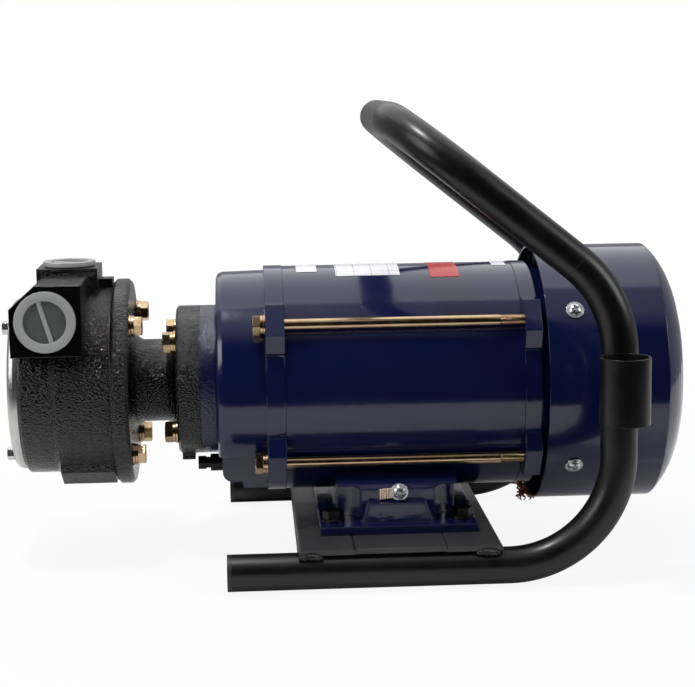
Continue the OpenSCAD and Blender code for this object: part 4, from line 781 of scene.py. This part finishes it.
def makeWelds(plan):
    # beads where the bars sit on the rails and where the holder meets the upright
    grids = []
    ends, holder = plan["barEnds"], plan["holder"]
    for i, x in enumerate(ends["x"]):
        for side in (-1, 1):
            t = np.linspace(-1, 1, 110)
            wander = ends["wander"] * np.sin(3.1 * t + i + side)
            path = np.stack([x + ends["half"] * t, side * (ends["y"] + wander),
                             ends["z"] - ends["sag"] * t ** 2], -1)
            grids.append(weldGrid(path, plan["radius"] * ends["thick"], plan["ripple"], i + side))
    for side in (-1, 1):
        z = np.linspace(*holder["z"], 130)
        shift = side * holder["offset"] + holder["wander"] * np.sin(z * 400)
        path = np.stack([holder["seam"][0] + shift * holder["side"][0],
                         holder["seam"][1] + shift * holder["side"][1], z], -1)
        grids.append(weldGrid(path, plan["radius"] * holder["thick"], plan["ripple"], side))
    meshPiece("weldBeads", *joinGrids(grids), finishes["framePaint"], "unit", "frame_paint")


makeWelds(weldPlan)

braidPlan = {
    "root": (0.0952, 0.0, 0.0425), "strands": 34, "length": 0.0175, "wire": 0.00042,
    "spread": 0.0060, "lean": 0.0085,
    "waves": (0.35, 0.16),  # a slow wave's and a quick wave's height, as shares of the spread
    "curl": 0.35,           # how far the ends turn back up
    "ferrule": ((0, 0.0036), (0.0004, 0.0042), (0.0030, 0.0042), (0.0036, 0.0034)),
}


def makeBraid(plan):
    # crumpled wires: path(t) leaves the root by spread (lean t + waves) sideways and by
    # length (t - curl t^3) down, on sine waves of its own phases
    rng = np.random.default_rng(7)
    rootX, rootY, rootZ = plan["root"]
    slow, quick = plan["waves"]
    grids = []
    t = np.linspace(0, 1, 36)

    def sway(lean, rateSlow, phaseSlow, rateQuick, phaseQuick):
        return plan["spread"] * (lean * t + slow * np.sin(rateSlow * t + phaseSlow) * t
                                 + quick * np.sin(rateQuick * t + phaseQuick))

    for _ in range(plan["strands"]):
        lean, phase = rng.uniform(-1, 1, 2), rng.uniform(0, tau, 6)
        curl = rng.uniform(0.3, 1.0)
        x = rootX + plan["lean"] * t ** 0.6 + sway(lean[0], 7, phase[0], 19, phase[1])
        y = rootY + sway(lean[1], 6, phase[2], 17, phase[3])
        z = rootZ - plan["length"] * (t - plan["curl"] * curl * t ** 3) + 0.0008 * np.sin(13 * t + phase[4])
        grids.append(tubeGrid(np.stack([x, y, np.minimum(z, rootZ)], -1), plan["wire"], 6))
    grids.append(placed(turnedGrid(plan["ferrule"], 28), (rootX, rootY, rootZ + 0.0003), (0, 0, -1)))
    piece = meshPiece("earthPigtail", *joinGrids(grids), finishes["copper"], "unit", "copper")
    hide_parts("earth_lead")


makeBraid(braidPlan)
print("welds and pigtail made")


# Floor and light

studio = {
    "floorColour": (0.80, 0.80, 0.80),
    "floorGlow": (0.90, 1.0),  # share of plain white seen directly, at the middle and the edge
    "floorCentre": (0.0, 0.35),
    "floorReach": (1.0, 0.74),
    "floorFade": (0.2, 0.62),   # where the glow begins and ends, as shares of the way to the edge
    "floorDrop": 0.0005,
    "ambient": 0.38,
    "room": {"front": 0.004, "above": 0.50, "behind": 0.34},    # what gloss shows
    "roomTint": (0.96, 0.96, 1.0),
    # turn about the motor's axis in degrees (0 towards the camera's side, 90 up), level, share
    "roomStops": ((-180, "behind", 1.0), (-120, "behind", 0.6), (-90, "front", 1.0), (45, "front", 1.0),
                  (62, "above", 1.0), (92, "above", 1.0), (103, "behind", 1.0), (180, "behind", 1.0)),
    "lamps": [
        # name, place, aim, width, height, watts
        ("backSoftBox", (0.0, 0.75, 1.35), (0.0, 0.0, 0.12), 2.4, 2.0, 15.0),
        ("leftSoftBox", (-1.6, -0.8, 0.9), (-0.05, 0.0, 0.12), 0.8, 0.9, 9.0),
        ("rightSoftBox", (1.7, -0.6, 0.9), (0.1, 0.0, 0.12), 0.8, 0.9, 9.0),
        ("sparkBox", (-0.31, -0.20, 1.15), (-0.17, 0.0, 0.12), 0.09, 0.07, 5.0),
    ],
}


def makeFloor(plan):
    # an oval table top: point(a) = centre + (reachX cos a, reachY sin a), whose rim is seen
    # as plain white
    cx, cy = plan["floorCentre"]
    rx, ry = plan["floorReach"]
    a = np.arange(96) * tau / 96
    rim = np.stack([cx + rx * np.cos(a), cy + ry * np.sin(a), 0 * a - plan["floorDrop"]], -1)
    mesh = bpy.data.meshes.new("studioFloor")
    mesh.from_pydata(rim.tolist(), [], [list(range(96))])
    floor = bpy.data.objects.new("studioFloor", mesh)
    bpy.context.scene.collection.objects.link(floor)
    material, tree, shader = newMaterial("studioFloor", Roughness=0.9, Specular_IOR_Level=0.1)
    shader.inputs["Base Color"].default_value = (*plan["floorColour"], 1)
    glow = addNode(tree, "Emission", Color=(1, 1, 1, 1), Strength=1.0)
    # distance from the middle as a share of the way to the rim
    scaled = addNode(tree, "VectorMath", [(objectPlace(tree), 0)], operation="SUBTRACT")
    scaled.inputs[1].default_value = (cx, 0, 0)
    shares = addNode(tree, "VectorMath", [(scaled.outputs[0], 0)], operation="MULTIPLY")
    shares.inputs[1].default_value = (1 / rx, 1 / (ry + cy), 0)
    away = addNode(tree, "VectorMath", [(shares.outputs[0], 0)], operation="LENGTH").outputs["Value"]
    level = spread(tree, away, *plan["floorGlow"], *plan["floorFade"])
    ray = addNode(tree, "LightPath")
    seen = addNode(tree, "Math", [(ray.outputs["Is Camera Ray"], 0), (level, 1)], operation="MULTIPLY")
    mixer = addNode(tree, "MixShader", [(seen.outputs[0], 0), (shader.outputs[0], 1), (glow.outputs[0], 2)])
    tree.links.new(mixer.outputs[0], tree.nodes["Material Output"].inputs["Surface"])
    mesh.materials.append(material)


def makeLamps(plan):
    # rectangular area lamps, each turned to face its aim
    for name, place, aim, width, height, watts in plan["lamps"]:
        lamp = bpy.data.lights.new(name, "AREA")
        lamp.shape = "RECTANGLE"
        lamp.size = width
        lamp.size_y = height
        lamp.energy = watts
        holder = bpy.data.objects.new(name, lamp)
        toward = (Vector(aim) - Vector(place)).normalized()
        holder.matrix_world = Matrix.Translation(place) @ toward.to_track_quat("-Z", "Y").to_matrix().to_4x4()
        bpy.context.scene.collection.objects.link(holder)


def makeWorld(plan):
    # plain white where the camera looks; gloss and glass show the white backdrop behind and
    # above the object and a dark room on the camera's side; the rest is even soft light
    world = bpy.data.worlds.new("studio")
    bpy.context.scene.world = world
    world.use_nodes = True
    tree = world.node_tree
    even = tree.nodes["Background"]
    even.inputs["Color"].default_value = (1, 1, 1, 1)
    even.inputs["Strength"].default_value = plan["ambient"]
    direction = addNode(tree, "TexCoord").outputs["Generated"]
    parts = addNode(tree, "SeparateXYZ", [(direction, 0)])
    # turn = atan2(z, -y)
    back = addNode(tree, "Math", [(parts.outputs["Y"], 0)], operation="MULTIPLY")
    back.inputs[1].default_value = -1.0
    turn = addNode(tree, "Math", [(parts.outputs["Z"], 0), (back.outputs[0], 1)], operation="ARCTAN2")
    ramp = addNode(tree, "ValToRGB", [(spread(tree, turn.outputs[0], 0, 1, -math.pi, math.pi), "Fac")])
    stops, elements = plan["roomStops"], ramp.color_ramp.elements
    elements[0].position = 0.0
    elements[1].position = 1.0
    for degrees, _, _ in stops[1:-1]:
        elements.new((degrees + 180) / 360)
    for element, (_, part, share) in zip(elements, stops):
        element.color = (*(plan["room"][part] * share * tint for tint in plan["roomTint"]), 1)
    room = addNode(tree, "Background", [(ramp.outputs["Color"], "Color")], Strength=1.0)
    white = addNode(tree, "Background", Color=(1, 1, 1, 1), Strength=1.0)
    ray = addNode(tree, "LightPath")
    sharp = addNode(tree, "Math", [(ray.outputs["Is Glossy Ray"], 0),
                                   (ray.outputs["Is Transmission Ray"], 1)], operation="MAXIMUM")
    inner = addNode(tree, "MixShader", [(sharp.outputs[0], 0), (even.outputs[0], 1), (room.outputs[0], 2)])
    outer = addNode(tree, "MixShader", [(ray.outputs["Is Camera Ray"], 0), (inner.outputs[0], 1),
                                        (white.outputs[0], 2)])
    tree.links.new(outer.outputs[0], tree.nodes["World Output"].inputs["Surface"])


makeFloor(studio)
makeLamps(studio)
makeWorld(studio)
bpy.context.scene.view_settings.view_transform = "Standard"
print("studio lit")
